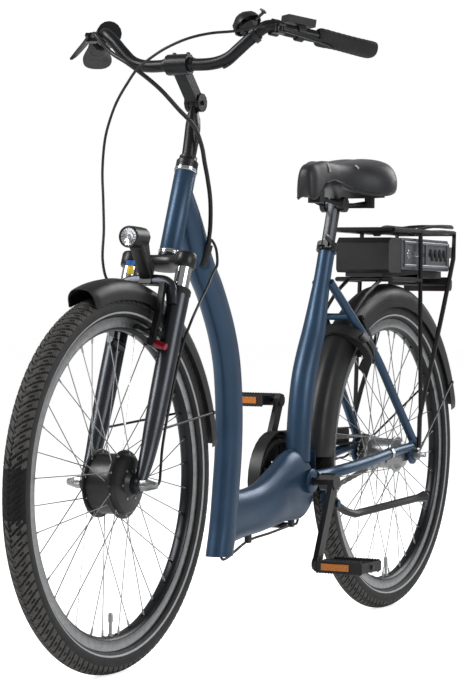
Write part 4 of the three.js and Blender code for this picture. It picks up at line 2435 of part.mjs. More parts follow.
const beamCableRoute = () => [
  nearFoot(-8, 0, -3.6),
  nearFoot(-14, 0, -8),
  nearFoot(-33, 0, -6),
  nearFoot(-55.3, 0, 1),
  beamClipPlaces[0],
  underBeam([0.5646, 0.79]),
  beamClipPlaces[1],
  nearBracket(-15, -8, -84),
  nearBracket(-49, -22, -52),
  nearBracket(-75, -30, -18),
  nearBracket(-115, -43, -1),
  nearRearHub(200, -58, -19.5),
  nearRearHub(100, -62, -8.5),
  nearRearHub(40, -74, -8.5),
  nearRearHub(16, -77, -4.5),
];

const beamCableTube = (radius) => tube(beamCableRoute(), radius, 28, cableSides);

// Assembly

const paint = {
  frame: ['#33506f', 0.42, 0.55],
  black: ['#17181a', 0.5, 0.2],
  satin: ['#2a2c2f', 0.4, 0.5],
  plastic: ['#141516', 0.6, 0],
  rubber: ['#1c1d1e', 0.85, 0],
  tyre: ['#2b2c2d', 0.9, 0],
  silver: ['#b9bcc0', 0.35, 0.9],
  steel: ['#8f9398', 0.35, 0.9],
  battery: ['#8c9197', 0.4, 0.4],
  cushion: ['#2d2e33', 0.8, 0],
  red: ['#6b0f12', 0.5, 0.1],
  fork: ['#3b3e42', 0.4, 0.4],
  lamp: ['#1b1c1e', 0.4, 0.2],
  rim: ['#1d1e20', 0.4, 0.6],
};

function piece(name, geometry, look) {
  const [color, roughness, metalness] = look;
  const material = new THREE.MeshStandardMaterial({ color, roughness, metalness });
  const mesh = new THREE.Mesh(asGeometry(asSolid(geometry)), material);
  mesh.name = name;
  return mesh;
}

function groupAt(matrix, ...children) {
  const group = new THREE.Group();
  group.applyMatrix4(matrix);
  group.add(...children);
  return group;
}

const translation = (point) => new THREE.Matrix4().setPosition(point);

const frontWheel = groupAt(
  translation(at(forkOffset, 0, -forkLength)),
  piece('front_tyre', tyre(), paint.tyre),
  piece('front_rim', rim(frontValveAngle), paint.rim),
  piece('front_hub', motorHub(), paint.black),
  piece('front_axle', frontAxle(), paint.steel),
  piece('front_brake_arm_left', brakeArm(frontBrakeAway), paint.black),
  piece('front_brake_arm_right', mirrored(brakeArm(frontBrakeAway)), paint.red),
);

const steering = groupAt(
  steeringFrame,
  piece('fork_upper', forkUpper(), paint.black),
  piece('stem_quill', stemQuill(), paint.satin),
  piece('stem_head', stemHead(), paint.satin),
  piece('fork_lowers', forkLowers(), paint.fork),
  piece('front_mudguard', frontMudguard(), paint.black),
  piece('headlight', headlight(), paint.lamp),
  frontWheel,
);

const leftControls = groupAt(
  leftHand,
  piece('grip_left', grip(), paint.rubber),
  piece('lever_mount_left', leverMount(), paint.black),
  piece('brake_lever_left', brakeLever(), paint.black),
  piece('display', display(), paint.plastic),
);

const rightControls = groupAt(
  rightHand,
  piece('grip_right', mirrored(grip()), paint.rubber),
  piece('lever_mount_right', mirrored(indicatorMount()), paint.black),
  piece('brake_lever_right', mirrored(brakeLever()), paint.black),
  piece('shifter_sleeve', mirrored(shifterSleeve()), paint.rubber),
);

const bellGroup = groupAt(
  bellFrame(),
  piece('bell', bell(), paint.black),
  piece('bell_lever', bellLever(), paint.black),
);

const rearWheel = groupAt(
  translation(rearHub),
  piece('rear_tyre', tyre(), paint.tyre),
  piece('rear_rim', rim(rearValveAngle), paint.rim),
  piece('rear_hub', gearHub(), paint.silver),
  piece('rear_axle', rearAxle(), paint.steel),
  piece('sprocket', sprocket(), paint.steel),
);

const rearBrake = groupAt(
  stayFrame,
  piece('rear_brake_arm_left', mirrored(brakeArm(rearBrakeAway)), paint.black),
  piece('rear_brake_arm_right', brakeArm(rearBrakeAway), paint.black),
);

const cranks = groupAt(
  translation(at(bracketX, 0, bracketZ)),
  piece('crank_left', crankLeft(), paint.black),
  piece('crank_right', crankRight(), paint.black),
);

function pedalAt(name, side, angle) {
  const [x, z] = polar(bracketX, bracketZ, crankLength, angle);
  return groupAt(translation(at(x, 0, z)), piece(name, pedal(side), paint.plastic));
}

const lock = groupAt(
  lockFrame,
  piece('ring_lock_case', ringLockCase(), paint.plastic),
  piece('ring_lock_bolt', ringLockBolt(), paint.steel),
);

const seat = groupAt(
  seatFrame,
  piece('seat_clamp', seatClamp(), paint.black),
  piece('seat_clamp_lever', clampLever(), paint.black),
  piece('seatpost', seatpost(), paint.satin),
);

const bicycle = new THREE.Group();
bicycle.add(
  piece('down_tube', downTube(), paint.frame),
  piece('lower_beam', lowerBeam(), paint.frame),
  piece('seat_tube', seatTube(), paint.frame),
  piece('chainstays', chainstays(), paint.frame),
  piece('seatstays', seatstays(), paint.frame),
  piece('kickstand_leg', kickstandLeg(), paint.black),
  piece('rear_mudguard', rearMudguard(), paint.black),
  piece('handlebar', handlebar(), paint.satin),
  piece('saddle_cushion', saddleCushion(), paint.cushion),
  piece('saddle_base', saddleBase(), paint.plastic),
  piece('rack_frame', rackFrame(), paint.black),
  piece('rack_clamp', rackClamp(), paint.black),
  piece('battery_dock', batteryDock(), paint.plastic),
  piece('battery', battery(), paint.battery),
  piece('rear_light', rearLight(), paint.plastic),
  piece('chain', chain(), paint.steel),
  piece('chain_guard', chainGuard(), paint.plastic),
  piece('front_brake_cable', frontBrakeCable(), paint.rubber),
  piece('control_cables', controlCables(), paint.rubber),
  piece('motor_cable', motorCable(), paint.rubber),
  piece('beam_cable', beamCableTube(cableRadius), paint.rubber),
  pedalAt('pedal_left', 1, crankAngle),
  pedalAt('pedal_right', -1, crankAngle + Math.PI),
  cranks,
  steering,
  leftControls,
  rightControls,
  bellGroup,
  rearWheel,
  rearBrake,
  lock,
  seat,
);

// The bicycle stands centred over its origin along X
bicycle.updateMatrixWorld(true);
const extent = new THREE.Box3().setFromObject(bicycle, true);
bicycle.position.x = -(extent.min.x + extent.max.x) / 2;

export default bicycle;
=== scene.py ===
"""Looks of a step-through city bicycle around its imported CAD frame.

Sizes are in millimetres. X runs forward from the rear axle, Y to the left and Z up from the ground.
"""

from itertools import product
from math import copysign, cos, dist, exp, hypot, pi, radians, sin, sqrt

import bmesh
import bpy
import numpy as np
from mathutils import Matrix, Vector


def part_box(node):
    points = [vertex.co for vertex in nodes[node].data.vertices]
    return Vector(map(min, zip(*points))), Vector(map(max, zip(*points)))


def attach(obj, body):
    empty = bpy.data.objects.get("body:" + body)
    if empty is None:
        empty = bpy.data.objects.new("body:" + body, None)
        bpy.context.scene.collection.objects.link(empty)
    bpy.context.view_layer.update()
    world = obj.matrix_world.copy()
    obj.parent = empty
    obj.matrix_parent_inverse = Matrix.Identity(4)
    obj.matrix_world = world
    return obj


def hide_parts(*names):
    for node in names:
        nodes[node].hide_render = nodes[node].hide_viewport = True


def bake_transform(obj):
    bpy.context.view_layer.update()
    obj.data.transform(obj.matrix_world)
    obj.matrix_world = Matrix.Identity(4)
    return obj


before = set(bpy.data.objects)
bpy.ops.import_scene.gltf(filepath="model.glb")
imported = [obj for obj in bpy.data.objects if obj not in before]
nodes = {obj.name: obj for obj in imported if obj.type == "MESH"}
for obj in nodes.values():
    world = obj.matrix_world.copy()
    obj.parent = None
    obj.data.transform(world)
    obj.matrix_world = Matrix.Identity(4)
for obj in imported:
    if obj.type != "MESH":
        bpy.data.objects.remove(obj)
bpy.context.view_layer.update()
low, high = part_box("rear_tyre")
REAR_X = (low.x + high.x) / 2
MM = 0.001
WELD = 1e-6
# A direction whose upright share is above this is turned about another axis than the upright one
STEEP = 0.9

# Driving sizes, the same as the CAD part's
WHEELBASE, TYRE_R, RIM_R = 1138.5, 326.5, 286.0
HEAD_ANGLE = radians(69.5)
UP = np.array([-cos(HEAD_ANGLE), 0, sin(HEAD_ANGLE)])
FORWARD = np.array([sin(HEAD_ANGLE), 0, cos(HEAD_ANGLE)])
AHEAD, SIDE, ABOVE = np.eye(3)
REAR_HUB = np.array([0.0, 0.0, TYRE_R])
FRONT_HUB = np.array([WHEELBASE, 0.0, TYRE_R])
FORK_LENGTH, FORK_OFFSET = 598.3, 42.05
HEAD_TOP = FRONT_HUB + FORK_LENGTH * UP - FORK_OFFSET * FORWARD
HEAD_LENGTH = 153.3
LEG_OFFSET, LEG_SPACING = 32.0, 54.0
SEAT_TOP = np.array([292.0, 0.0, 757.0])
SEAT_FOOT = np.array([417.0, 0.0, 330.0])
BRACKET = np.array([415.0, 0.0, 292.0])
CRANK, CRANK_ANGLE = 170.0, radians(-65.2)


def steer(forward, y, up):
    """A point from the head tube's top, along the steering's own axes."""
    return HEAD_TOP + forward * FORWARD + y * SIDE + up * UP


def at(x, y, z):
    return np.array([x, y, z], float)


def polar(centre, radius, angle, y=0.0):
    return np.array([centre[0] + radius * cos(angle), y, centre[2] + radius * sin(angle)])


def unit(v):
    v = np.asarray(v, float)
    return v / np.linalg.norm(v)


def flip(p):
    """The same point on the other side."""
    return np.asarray(p, float) * [1, -1, 1]


# Curves and surfaces

def spline(points, count):
    """A centripetal Catmull-Rom curve through rows of any width."""
    p = np.array(points, float)
    q = np.vstack([2 * p[0] - p[1], p, 2 * p[-1] - p[-2]])
    t = np.concatenate([[0], np.cumsum(np.sqrt(np.linalg.norm(np.diff(q, axis=0), axis=1)))])
    rows = []
    for s in np.linspace(t[1], t[-2], count):
        i = min(max(int(np.searchsorted(t, s, side="right")) - 1, 1), len(p) - 1)
        t0, t1, t2, t3 = t[i - 1 : i + 3]
        p0, p1, p2, p3 = q[i - 1 : i + 3]
        a1 = (t1 - s) / (t1 - t0) * p0 + (s - t0) / (t1 - t0) * p1
        a2 = (t2 - s) / (t2 - t1) * p1 + (s - t1) / (t2 - t1) * p2
        a3 = (t3 - s) / (t3 - t2) * p2 + (s - t2) / (t3 - t2) * p3
        b1 = (t2 - s) / (t2 - t0) * a1 + (s - t0) / (t2 - t0) * a2
        b2 = (t3 - s) / (t3 - t1) * a2 + (s - t1) / (t3 - t1) * a3
        rows.append((t2 - s) / (t2 - t1) * b1 + (s - t1) / (t2 - t1) * b2)
    return np.array(rows)


def headings(points):
    """Unit directions along a line of points."""
    return np.array([unit(d) for d in np.gradient(np.asarray(points, float), axis=0)])


def loft(rings, closed=False, whole=True):
    """Vertices and faces that skin rings of equal count; closed joins the last ring to the first."""
    rings = np.asarray(rings, float)
    n, k = rings.shape[:2]
    faces = []
    for i in range(n if closed else n - 1):
        a, b = i * k, ((i + 1) % n) * k
        for j in range(k if whole else k - 1):
            m = (j + 1) % k
            faces.append((a + j, a + m, b + m, b + j))
    if not closed:
        faces.append(tuple(range(k))[::-1])
        faces.append(tuple(range((n - 1) * k, n * k)))
    return rings.reshape(-1, 3), faces


def oval(centre, across, up, half_across, half_up, sides, power=2.0):
    """A ring about a centre; a higher power makes it squarer."""
    ring = []
    for i in range(sides):
        a = 2 * pi * (i + 0.5) / sides
        c, s = cos(a), sin(a)
        ring.append(
            centre
            + across * half_across * copysign(abs(c) ** (2 / power), c)
            + up * half_up * copysign(abs(s) ** (2 / power), s)
        )
    return np.array(ring)


def tube(points, radius, sides, samples=None):
    """A round tube through points; radius is a number or one for each sample."""
    line = np.asarray(points, float) if samples is None else spline(points, samples)
    way = headings(line)
    given = np.atleast_1d(np.asarray(radius, float))
    radii = np.interp(np.linspace(0, 1, len(line)), np.linspace(0, 1, len(given)), given)
    across = np.cross(way[0], ABOVE if abs(way[0][2]) < STEEP else SIDE)
    rings = []
    for p, d, r in zip(line, way, radii):
        across = unit(across - d * (across @ d))
        rings.append(oval(p, across, np.cross(d, across), r, r, sides))
    return loft(rings)


def lathe(profile, segments, origin, axis=SIDE, closed=True):
    """A profile of (radius, along) pairs turned about an axis; an open one starts and ends on it."""
    axis = unit(axis)
    toward = unit(np.cross(axis, ABOVE if abs(axis[2]) < STEEP else AHEAD))
    third = np.cross(axis, toward)
    rings = []
    for i in range(segments):
        a = 2 * pi * i / segments
        out = cos(a) * toward + sin(a) * third
        rings.append([origin + r * out + h * axis for r, h in profile])
    return loft(rings, closed=True, whole=closed)


def brick(centre, halves):
    """A box along the world's axes, from its centre and half sizes."""
    corners = [np.asarray(centre, float) + np.array(signs) * halves for signs in product((-1, 1), repeat=3)]
    faces = [(0, 1, 3, 2), (4, 6, 7, 5), (0, 4, 5, 1), (2, 3, 7, 6), (0, 2, 6, 4), (1, 5, 7, 3)]
    return np.array(corners), faces


def slab(outline, y0, y1):
    """A flat outline of (x, z) made thick along Y."""
    return loft([[(x, y, z) for x, z in outline] for y in (y0, y1)])


def gather(*parts):
    """Several meshes as one."""
    vertices, faces, start = [], [], 0
    for v, f in parts:
        vertices.append(np.asarray(v, float))
        faces += [tuple(i + start for i in face) for face in f]
        start += len(v)
    return np.vstack(vertices), faces


def mirror(part):
    """The same mesh on the other side."""
    v, f = part
    return v * [1, -1, 1], [face[::-1] for face in f]


def both(part):
    """A mesh and its mirror image."""
    return gather(part, mirror(part))


def folded(outline):
    """An outline's points in reverse, with the second number negated."""
    return [(a, -b) for a, b in reversed(outline)]


def stations(start, end, shares, sizes, count):
    """A curve of (x, z, sizes) rows, from shares of the span between two points and of the sizes."""
    x, _, z = end - start
    rows = [(start[0] + f * x, start[2] + u * z, *np.multiply(rest, sizes)) for f, u, *rest in shares]
    return spline(rows, count)


def link(name, data):
    """A new object in the scene."""
    made = bpy.data.objects.new(name, data)
    bpy.context.scene.collection.objects.link(made)
    return made


def round_edges(piece, width, segments, angle):
    """Small roundings on the edges that turn by more than the angle."""
    rounding = piece.modifiers.new("edges", "BEVEL")
    rounding.width = width * MM
    rounding.segments = segments
    rounding.limit_method = "ANGLE"
    rounding.angle_limit = radians(angle)
    rounding.harden_normals = True
    return rounding


def put(name, part, look, body, stands_for=(), sharp=38, bevel=0.0, second=None, pick=None):
    """Makes the object from a mesh in millimetres; pick says which faces take the second look."""
    vertices, faces = part
    mesh = bpy.data.meshes.new(name)
    placed = np.asarray(vertices, float) * MM + [REAR_X, 0, 0]
    mesh.from_pydata(placed.tolist(), [], faces)
    bm = bmesh.new()
    bm.from_mesh(mesh)
    bmesh.ops.remove_doubles(bm, verts=bm.verts, dist=WELD)
    bmesh.ops.dissolve_degenerate(bm, edges=bm.edges, dist=WELD / 10)
    bmesh.ops.recalc_face_normals(bm, faces=bm.faces)
    bm.to_mesh(mesh)
    bm.free()
    mesh.materials.append(look)
    if second is not None:
        mesh.materials.append(second)
        for polygon in mesh.polygons:
            c = polygon.center
            if pick((c.x - REAR_X) / MM, c.y / MM, c.z / MM):
                polygon.material_index = 1
    for polygon in mesh.polygons:
        polygon.use_smooth = True
    mesh.set_sharp_from_angle(angle=radians(sharp))
    piece = link(name, mesh)
    if bevel:
        round_edges(piece, bevel, segments=3, angle=40)
    if body:
        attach(piece, body)
    if stands_for:
        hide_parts(*stands_for)
    return piece


# Materials

FINE_GRAIN, FLECK_GRAIN = 2.3, 2600.0
SPECULAR, COAT_ROUGHNESS = 0.35, 0.25


def shader(name, base, roughness, metallic, vary, grain, bump, rough_vary=0.08, bump_scale=900.0, coat=0.0,
           sheen=0.0, speckle=0.0):
    """A surface with broad colour variation, uneven gloss and a fine relief."""
    made = bpy.data.materials.new(name)
    made.use_nodes = True
    tree = made.node_tree
    principled = tree.nodes["Principled BSDF"]
    principled.inputs["Metallic"].default_value = metallic
    principled.inputs["Specular IOR Level"].default_value = SPECULAR
    principled.inputs["Coat Weight"].default_value = coat
    principled.inputs["Coat Roughness"].default_value = COAT_ROUGHNESS
    principled.inputs["Sheen Weight"].default_value = sheen
    place = tree.nodes.new("ShaderNodeTexCoord")

    def noise(scale, detail=3.0):
        node = tree.nodes.new("ShaderNodeTexNoise")
        node.inputs["Scale"].default_value = scale
        node.inputs["Detail"].default_value = detail
        tree.links.new(place.outputs["Object"], node.inputs["Vector"])
        return node.outputs["Fac"]

    def ramp(source, stops):
        node = tree.nodes.new("ShaderNodeValToRGB")
        for element, (position, colour) in zip(node.color_ramp.elements, stops):
            element.position = position
            element.color = (*colour, 1)
        tree.links.new(source, node.inputs["Fac"])
        return node.outputs["Color"]

    dark = tuple(c * (1 - vary) for c in base)
    pale = tuple(min(1.0, c * (1 + vary)) for c in base)
    colour = ramp(noise(grain), [(0.35, dark), (0.65, pale)])
    if speckle:
        mix = tree.nodes.new("ShaderNodeMix")
        mix.data_type = "RGBA"
        mix.blend_type = "ADD"
        flecks = ramp(noise(FLECK_GRAIN, 1.0), [(0.62, (0, 0, 0)), (0.74, (speckle, speckle, speckle))])
        mix.inputs["Factor"].default_value = 1.0
        tree.links.new(colour, mix.inputs["A"])
        tree.links.new(flecks, mix.inputs["B"])
        colour = mix.outputs["Result"]
    tree.links.new(colour, principled.inputs["Base Color"])
    spread = tree.nodes.new("ShaderNodeMapRange")
    spread.inputs["To Min"].default_value = max(0.02, roughness - rough_vary)
    spread.inputs["To Max"].default_value = min(1.0, roughness + rough_vary)
    tree.links.new(noise(grain * FINE_GRAIN), spread.inputs["Value"])
    tree.links.new(spread.outputs["Result"], principled.inputs["Roughness"])
    relief = tree.nodes.new("ShaderNodeBump")
    relief.inputs["Strength"].default_value = 1.0
    relief.inputs["Distance"].default_value = bump * MM
    tree.links.new(noise(bump_scale, 2.0), relief.inputs["Height"])
    tree.links.new(relief.outputs["Normal"], principled.inputs["Normal"])
    return made


# Each has its colour, roughness and metallic share, the spread and scale of its stains, and its relief
PAINT = shader("frame_paint", (0.022, 0.053, 0.1), 0.38, 0.45, 0.07, 14, 0.012, bump_scale=1500, coat=0.12,
               speckle=0.015)
BLACK = shader("black_paint", (0.009, 0.009, 0.01), 0.36, 0.1, 0.15, 20, 0.003, coat=0.1)
SATIN = shader("black_anodised", (0.014, 0.0145, 0.016), 0.34, 0.5, 0.1, 25, 0.0015)
DARK_ALLOY = shader("dark_alloy", (0.05, 0.053, 0.06), 0.32, 0.85, 0.08, 25, 0.001, rough_vary=0.04)
POST = shader("post_alloy", (0.055, 0.058, 0.063), 0.36, 0.8, 0.06, 30, 0.001, rough_vary=0.04)
PLASTIC = shader("moulded_plastic", (0.011, 0.011, 0.012), 0.5, 0, 0.18, 35, 0.03, bump_scale=1600)
GUARD = shader("gloss_plastic", (0.009, 0.009, 0.01), 0.42, 0, 0.2, 18, 0.006, bump_scale=400)
RUBBER = shader("rubber", (0.014, 0.014, 0.015), 0.7, 0, 0.2, 50, 0.06, bump_scale=1200)
CABLE = shader("cable_jacket", (0.009, 0.009, 0.01), 0.42, 0, 0.15, 60, 0.01)
TYRE = shader("tyre_rubber", (0.011, 0.011, 0.012), 0.62, 0, 0.25, 45, 0.08, bump_scale=700, rough_vary=0.1)
TREAD = shader("tyre_tread", (0.06, 0.058, 0.055), 0.8, 0, 0.25, 120, 0.1, bump_scale=500)
# Painted shade: the tread's grooves take a colour darker than the tyre's own rubber
GROOVE_SHADE = shader("tyre_groove_painted_shade", (0.005, 0.005, 0.005), 0.85, 0, 0.2, 90, 0.05)
STRIPE = shader("tyre_reflex", (0.33, 0.34, 0.35), 0.5, 0, 0.08, 80, 0.01)
RIM = shader("rim_dark", (0.014, 0.015, 0.017), 0.32, 0.6, 0.15, 25, 0.006)
TRACK = shader("rim_track", (0.3, 0.305, 0.31), 0.3, 0.95, 0.1, 90, 0.004, bump_scale=2200)
STEEL = shader("stainless", (0.32, 0.325, 0.33), 0.28, 0.95, 0.1, 60, 0.002)
CHROME = shader("chrome", (0.62, 0.63, 0.64), 0.12, 1, 0.05, 40, 0.001, rough_vary=0.03)
SILVER = shader("cast_alloy", (0.32, 0.325, 0.33), 0.36, 0.9, 0.1, 40, 0.006)
CHAIN = shader("chain_steel", (0.16, 0.15, 0.14), 0.4, 0.85, 0.25, 120, 0.02)
SADDLE = shader("saddle_cover", (0.012, 0.0125, 0.016), 0.42, 0, 0.15, 60, 0.1, bump_scale=1100, sheen=0.1)
ACCENT = shader("saddle_accent", (0.36, 0.36, 0.37), 0.6, 0, 0.1, 90, 0.06, bump_scale=1400)
BATTERY = shader("battery_shell", (0.13, 0.137, 0.15), 0.34, 0.5, 0.06, 22, 0.01, bump_scale=1800, coat=0.1)
AMBER = shader("amber_reflector", (0.5, 0.15, 0.012), 0.25, 0, 0.3, 700, 0.25, coat=0.4)
RED_LENS = shader("red_lens", (0.4, 0.008, 0.01), 0.16, 0, 0.2, 400, 0.2, bump_scale=700, coat=0.6)
RED_METAL = shader("red_anodised", (0.22, 0.008, 0.02), 0.3, 0.6, 0.15, 60, 0.002)
LENS = shader("lamp_lens", (0.7, 0.72, 0.75), 0.12, 0.8, 0.3, 260, 0.25, bump_scale=350, coat=0.8)
BLUE_PLASTIC = shader("blue_collar", (0.02, 0.12, 0.4), 0.4, 0, 0.1, 80, 0.02)
YELLOW_PLASTIC = shader("yellow_plug", (0.7, 0.5, 0.03), 0.4, 0, 0.1, 80, 0.02)

# What each node of the CAD part is made of
NODE_LOOKS = (
    (PAINT, "down_tube lower_beam seat_tube chainstays seatstays"),
    (BLACK, "seat_clamp seat_clamp_lever saddle_base rack_frame rack_clamp fork_upper bell bell_lever"),
    (BLACK, "front_hub crank_left crank_right kickstand_leg"),
    (POST, "seatpost"),
    (SADDLE, "saddle_cushion"),
    (GUARD, "rear_mudguard front_mudguard chain_guard headlight"),
    (PLASTIC, "battery_dock rear_light ring_lock_case display pedal_left pedal_right"),
    (BATTERY, "battery"),
    (STEEL, "ring_lock_bolt rear_axle front_axle sprocket"),
    (CHAIN, "chain"),
    (CABLE, "beam_cable control_cables motor_cable front_brake_cable"),
    (DARK_ALLOY, "fork_lowers"),
    (SATIN, "stem_quill stem_head handlebar"),
    (SATIN, "lever_mount_left lever_mount_right brake_lever_left brake_lever_right"),
    (SATIN, "front_brake_arm_left front_brake_arm_right rear_brake_arm_left rear_brake_arm_right"),
    (RUBBER, "grip_left grip_right shifter_sleeve"),
    (TYRE, "front_tyre rear_tyre"),
    (RIM, "front_rim rear_rim"),
    (SILVER, "rear_hub"),
)
NODE_EDGE, NODE_WELD = 0.7, 1e-5


def dress(node, look):
    """Gives a CAD node its material, smooth faces and rounded edges."""
    mesh = node.data
    mesh.materials.clear()
    mesh.materials.append(look)
    if "custom_normal" in mesh.attributes:
        mesh.attributes.remove(mesh.attributes["custom_normal"])
    for polygon in mesh.polygons:
        polygon.use_smooth = True
        polygon.material_index = 0
    node.modifiers.new("weld", "WELD").merge_threshold = NODE_WELD
    round_edges(node, NODE_EDGE, segments=2, angle=34).use_clamp_overlap = True


for look, names in NODE_LOOKS:
    for name in names.split():
        dress(nodes[name], look)


# Tyres

SECTION_R = 22.9
SECTION_MIDDLE = TYRE_R - SECTION_R
BEAD = [(RIM_R - 5, 10.4), (RIM_R + 0.5, 10.6)]
SECTION_ANGLES = np.radians([*np.linspace(-48, 12, 8), *np.linspace(18, 90, 22)])
TREAD_PITCHES, TREAD_STEPS = 116, 8
TREAD_DEPTH, TREAD_EDGE = 1.7, 311.0
# Pitches by which a groove lags for each millimetre out, and the share of a pitch that it takes
GROOVE_LAG, GROOVE_SHARE = 0.062, 0.2
MIDDLE_SWING, MIDDLE_HALF, MIDDLE_CUT = 2.2, 1.0, 0.8
# Each tyre is a little flat at its foremost point
FRONT_TRIM, FRONT_POWER = 1.4, 60
STRIPE_START, STRIPE_END = 291.8, 294.6


def tread_cut(step, y):
    """How deep the herringbone is cut at a step around the tyre, as a share of its depth."""
    if abs(y + MIDDLE_SWING * sin(2 * pi * step / TREAD_STEPS)) < MIDDLE_HALF:
        return MIDDLE_CUT
    share = (step / TREAD_STEPS - abs(y) * GROOVE_LAG + (0.5 if y < 0 else 0)) % 1.0
    shoulder = 11.5 < abs(y) < 17 and 0.5 < share < 0.66
    return 1.0 if share < GROOVE_SHARE or shoulder else 0.0


def tyre_mesh(hub):
    """Sidewalls, shoulders and a herringbone tread cut into the crown."""
    side = BEAD + [(SECTION_MIDDLE + SECTION_R * sin(a), SECTION_R * cos(a)) for a in SECTION_ANGLES]
    side[-1] = (TYRE_R, 0.0)
    profile = side + folded(side[:-1])
    segments = TREAD_PITCHES * TREAD_STEPS
    rings = []
    for i in range(segments):
        a = 2 * pi * i / segments
        trim = FRONT_TRIM * max(0.0, cos(a)) ** FRONT_POWER
        cuts = [tread_cut(i, y) * TREAD_DEPTH if r > TREAD_EDGE else 0.0 for r, y in profile]
        rings.append([polar(hub, r - cut - trim, a, y) for (r, y), cut in zip(profile, cuts)])
    return loft(rings, closed=True)


def paint_tread(tyre, hub):
    """Gives the crown's faces the worn look and its grooves a painted shade, a colour darker than the plain
    rubber.
    """
    tyre.data.materials.append(TREAD)
    tyre.data.materials.append(GROOVE_SHADE)
    for polygon in tyre.data.polygons:
        c = polygon.center
        reach = hypot((c.x - REAR_X) / MM - hub[0], c.z / MM - hub[2])
        full = SECTION_MIDDLE + sqrt(max(0.0, SECTION_R**2 - (c.y / MM) ** 2))
        if reach > TREAD_EDGE - 1.5 and full > TREAD_EDGE:
            # Faces deep in a groove take the painted shade, the others the worn tread
            polygon.material_index = 3 if full - reach > 0.5 * TREAD_DEPTH else 2


# Rims, valves, spokes and hubs

SPOKES = 36
RIM_INNER = RIM_R - 24.5
RIM_SECTION = [
    (RIM_R - 9, 10.8), (RIM_R - 1.2, 10.8), (RIM_R, 11.4), (RIM_R - 0.6, 12.4), (RIM_R - 3, 12.5),
    (RIM_INNER + 6.5, 12.5), (RIM_INNER + 4.6, 11.6), (RIM_INNER + 1.2, 7.6), (RIM_INNER, 5.0),
]
TRACK_DEPTH, TRACK_OUT = 15, 12.3
NIPPLE_SEAT_R, SPOKE_R = 3.4, 1.0
# Places out from the rim's inner face, radii, sides and samples of the valve's stem, nut and cap
VALVE = (((4, -28), 2.9, 14, None), ((1, -3.5), 5.2, 6, None), ((-24, -38, -40), (4.2, 4.2, 3.0), 14, 5))
NIPPLE_RADII, HEAD_RADII = (1.5, 2.1, 2.1), (2.6, 2.4, 1.4)
NIPPLE_LENGTH, SPOKE_INSET, SPOKE_END_Y = 14, 6, 2.0


def rim_mesh(hub, valve):
    seats = []
    for i in range(SPOKES):
        a = valve + 2 * pi * (i + 0.5) / SPOKES
        seats.append(tube([polar(hub, RIM_INNER + 2, a), polar(hub, RIM_INNER - 1.4, a)], NIPPLE_SEAT_R, 8))
    return gather(lathe(RIM_SECTION + folded(RIM_SECTION), 160, hub), *seats)


def valve_mesh(hub, valve):
    return gather(*(
        tube([polar(hub, RIM_INNER + out, valve) for out in places], radii, sides, samples)
        for places, radii, sides, samples in VALVE
    ))


def spoke_mesh(hub, flange_r, flange_y, flange_t, turn, phase):
    """Tangential lacing with heads at the flange and nipples at the rim."""
    parts = []
    for i in range(SPOKES):
        side = 1 if i % 2 == 0 else -1
        leads = 1 if (i // 2) % 2 == 0 else -1
        rim_angle = radians(phase) + 2 * pi * i / SPOKES
        hub_angle = rim_angle + leads * radians(turn)
        start = polar(hub, flange_r - SPOKE_INSET, hub_angle, side * (flange_y + leads * flange_t / 2))
        end = polar(hub, RIM_INNER + 1, rim_angle, side * SPOKE_END_Y)
        out = side * leads * SIDE
        parts.append(tube([start, end], SPOKE_R, 6))
        parts.append(tube([end - unit(end - start) * NIPPLE_LENGTH, end], NIPPLE_RADII, 8, 4))
        parts.append(tube([start - out * 0.6, start + out * 1.4], HEAD_RADII, 8, 4))
    return gather(*parts)


for name, hub, valve in (("front", FRONT_HUB, radians(-90)), ("rear", REAR_HUB, radians(-93.5))):
    body = f"{name}_wheel"
    tyre = put(f"{name}_tyre_tread", tyre_mesh(hub), TYRE, body, [f"{name}_tyre"], sharp=50,
               second=STRIPE,
               pick=lambda x, y, z, h=hub: STRIPE_START < hypot(x - h[0], z - h[2]) < STRIPE_END)
    paint_tread(tyre, hub)
    put(f"{name}_rim_hoop", rim_mesh(hub, valve), RIM, body, [f"{name}_rim"], second=TRACK,
        pick=lambda x, y, z, h=hub: abs(y) > TRACK_OUT and hypot(x - h[0], z - h[2]) > RIM_R - TRACK_DEPTH)
    put(f"{name}_valve", valve_mesh(hub, valve), SILVER, body)

# Radius and place along the axle of the flanges, then of the whole shells from the right to the left
MOTOR_FLANGE = [(52, 20), (52.4, 21.6), (57.5, 22), (59, 22.8), (59, 25.2), (57.5, 26), (52, 26.4)]
MOTOR = [
    (8, -49.7), (17, -49.7), (17, -45), (19, -43.6), (43, -34), (50, -30.5), (52, -27),
    *folded(MOTOR_FLANGE), *MOTOR_FLANGE, (51, 30), (47, 35.5), (36, 37.4), (24, 38.2), (20, 42), (17, 44),
    (17, 49.7), (8, 49.7),
]
GEAR_FLANGE = [(31, 10), (32, 23), (32.6, 25), (37, 25.5), (38, 26.4), (38, 29.6), (37, 30.5), (32, 31)]
GEAR = [
    (6, -35), (26, -35), (28, -33.6), *folded(GEAR_FLANGE), *GEAR_FLANGE, (30, 36), (27, 43.5), (20, 47.5),
    (13.5, 49), (13, 50), (13, 54), (6, 54),
]
# Distance from the axle, faces, radii, sides and samples of the cover's bolts and of the flange's
HUB_BOLTS = ((27, (36, 39.6), (2.8, 2.8, 2.2), 12, 4), (55, (25, 27.4), 1.8, 10, None))
# Flange radius, place and thickness, then the spokes' turn and phase in degrees
MOTOR_LACING, GEAR_LACING = (59, 24, 4, 20, 5), (38, 28, 5, 60, 51.5)

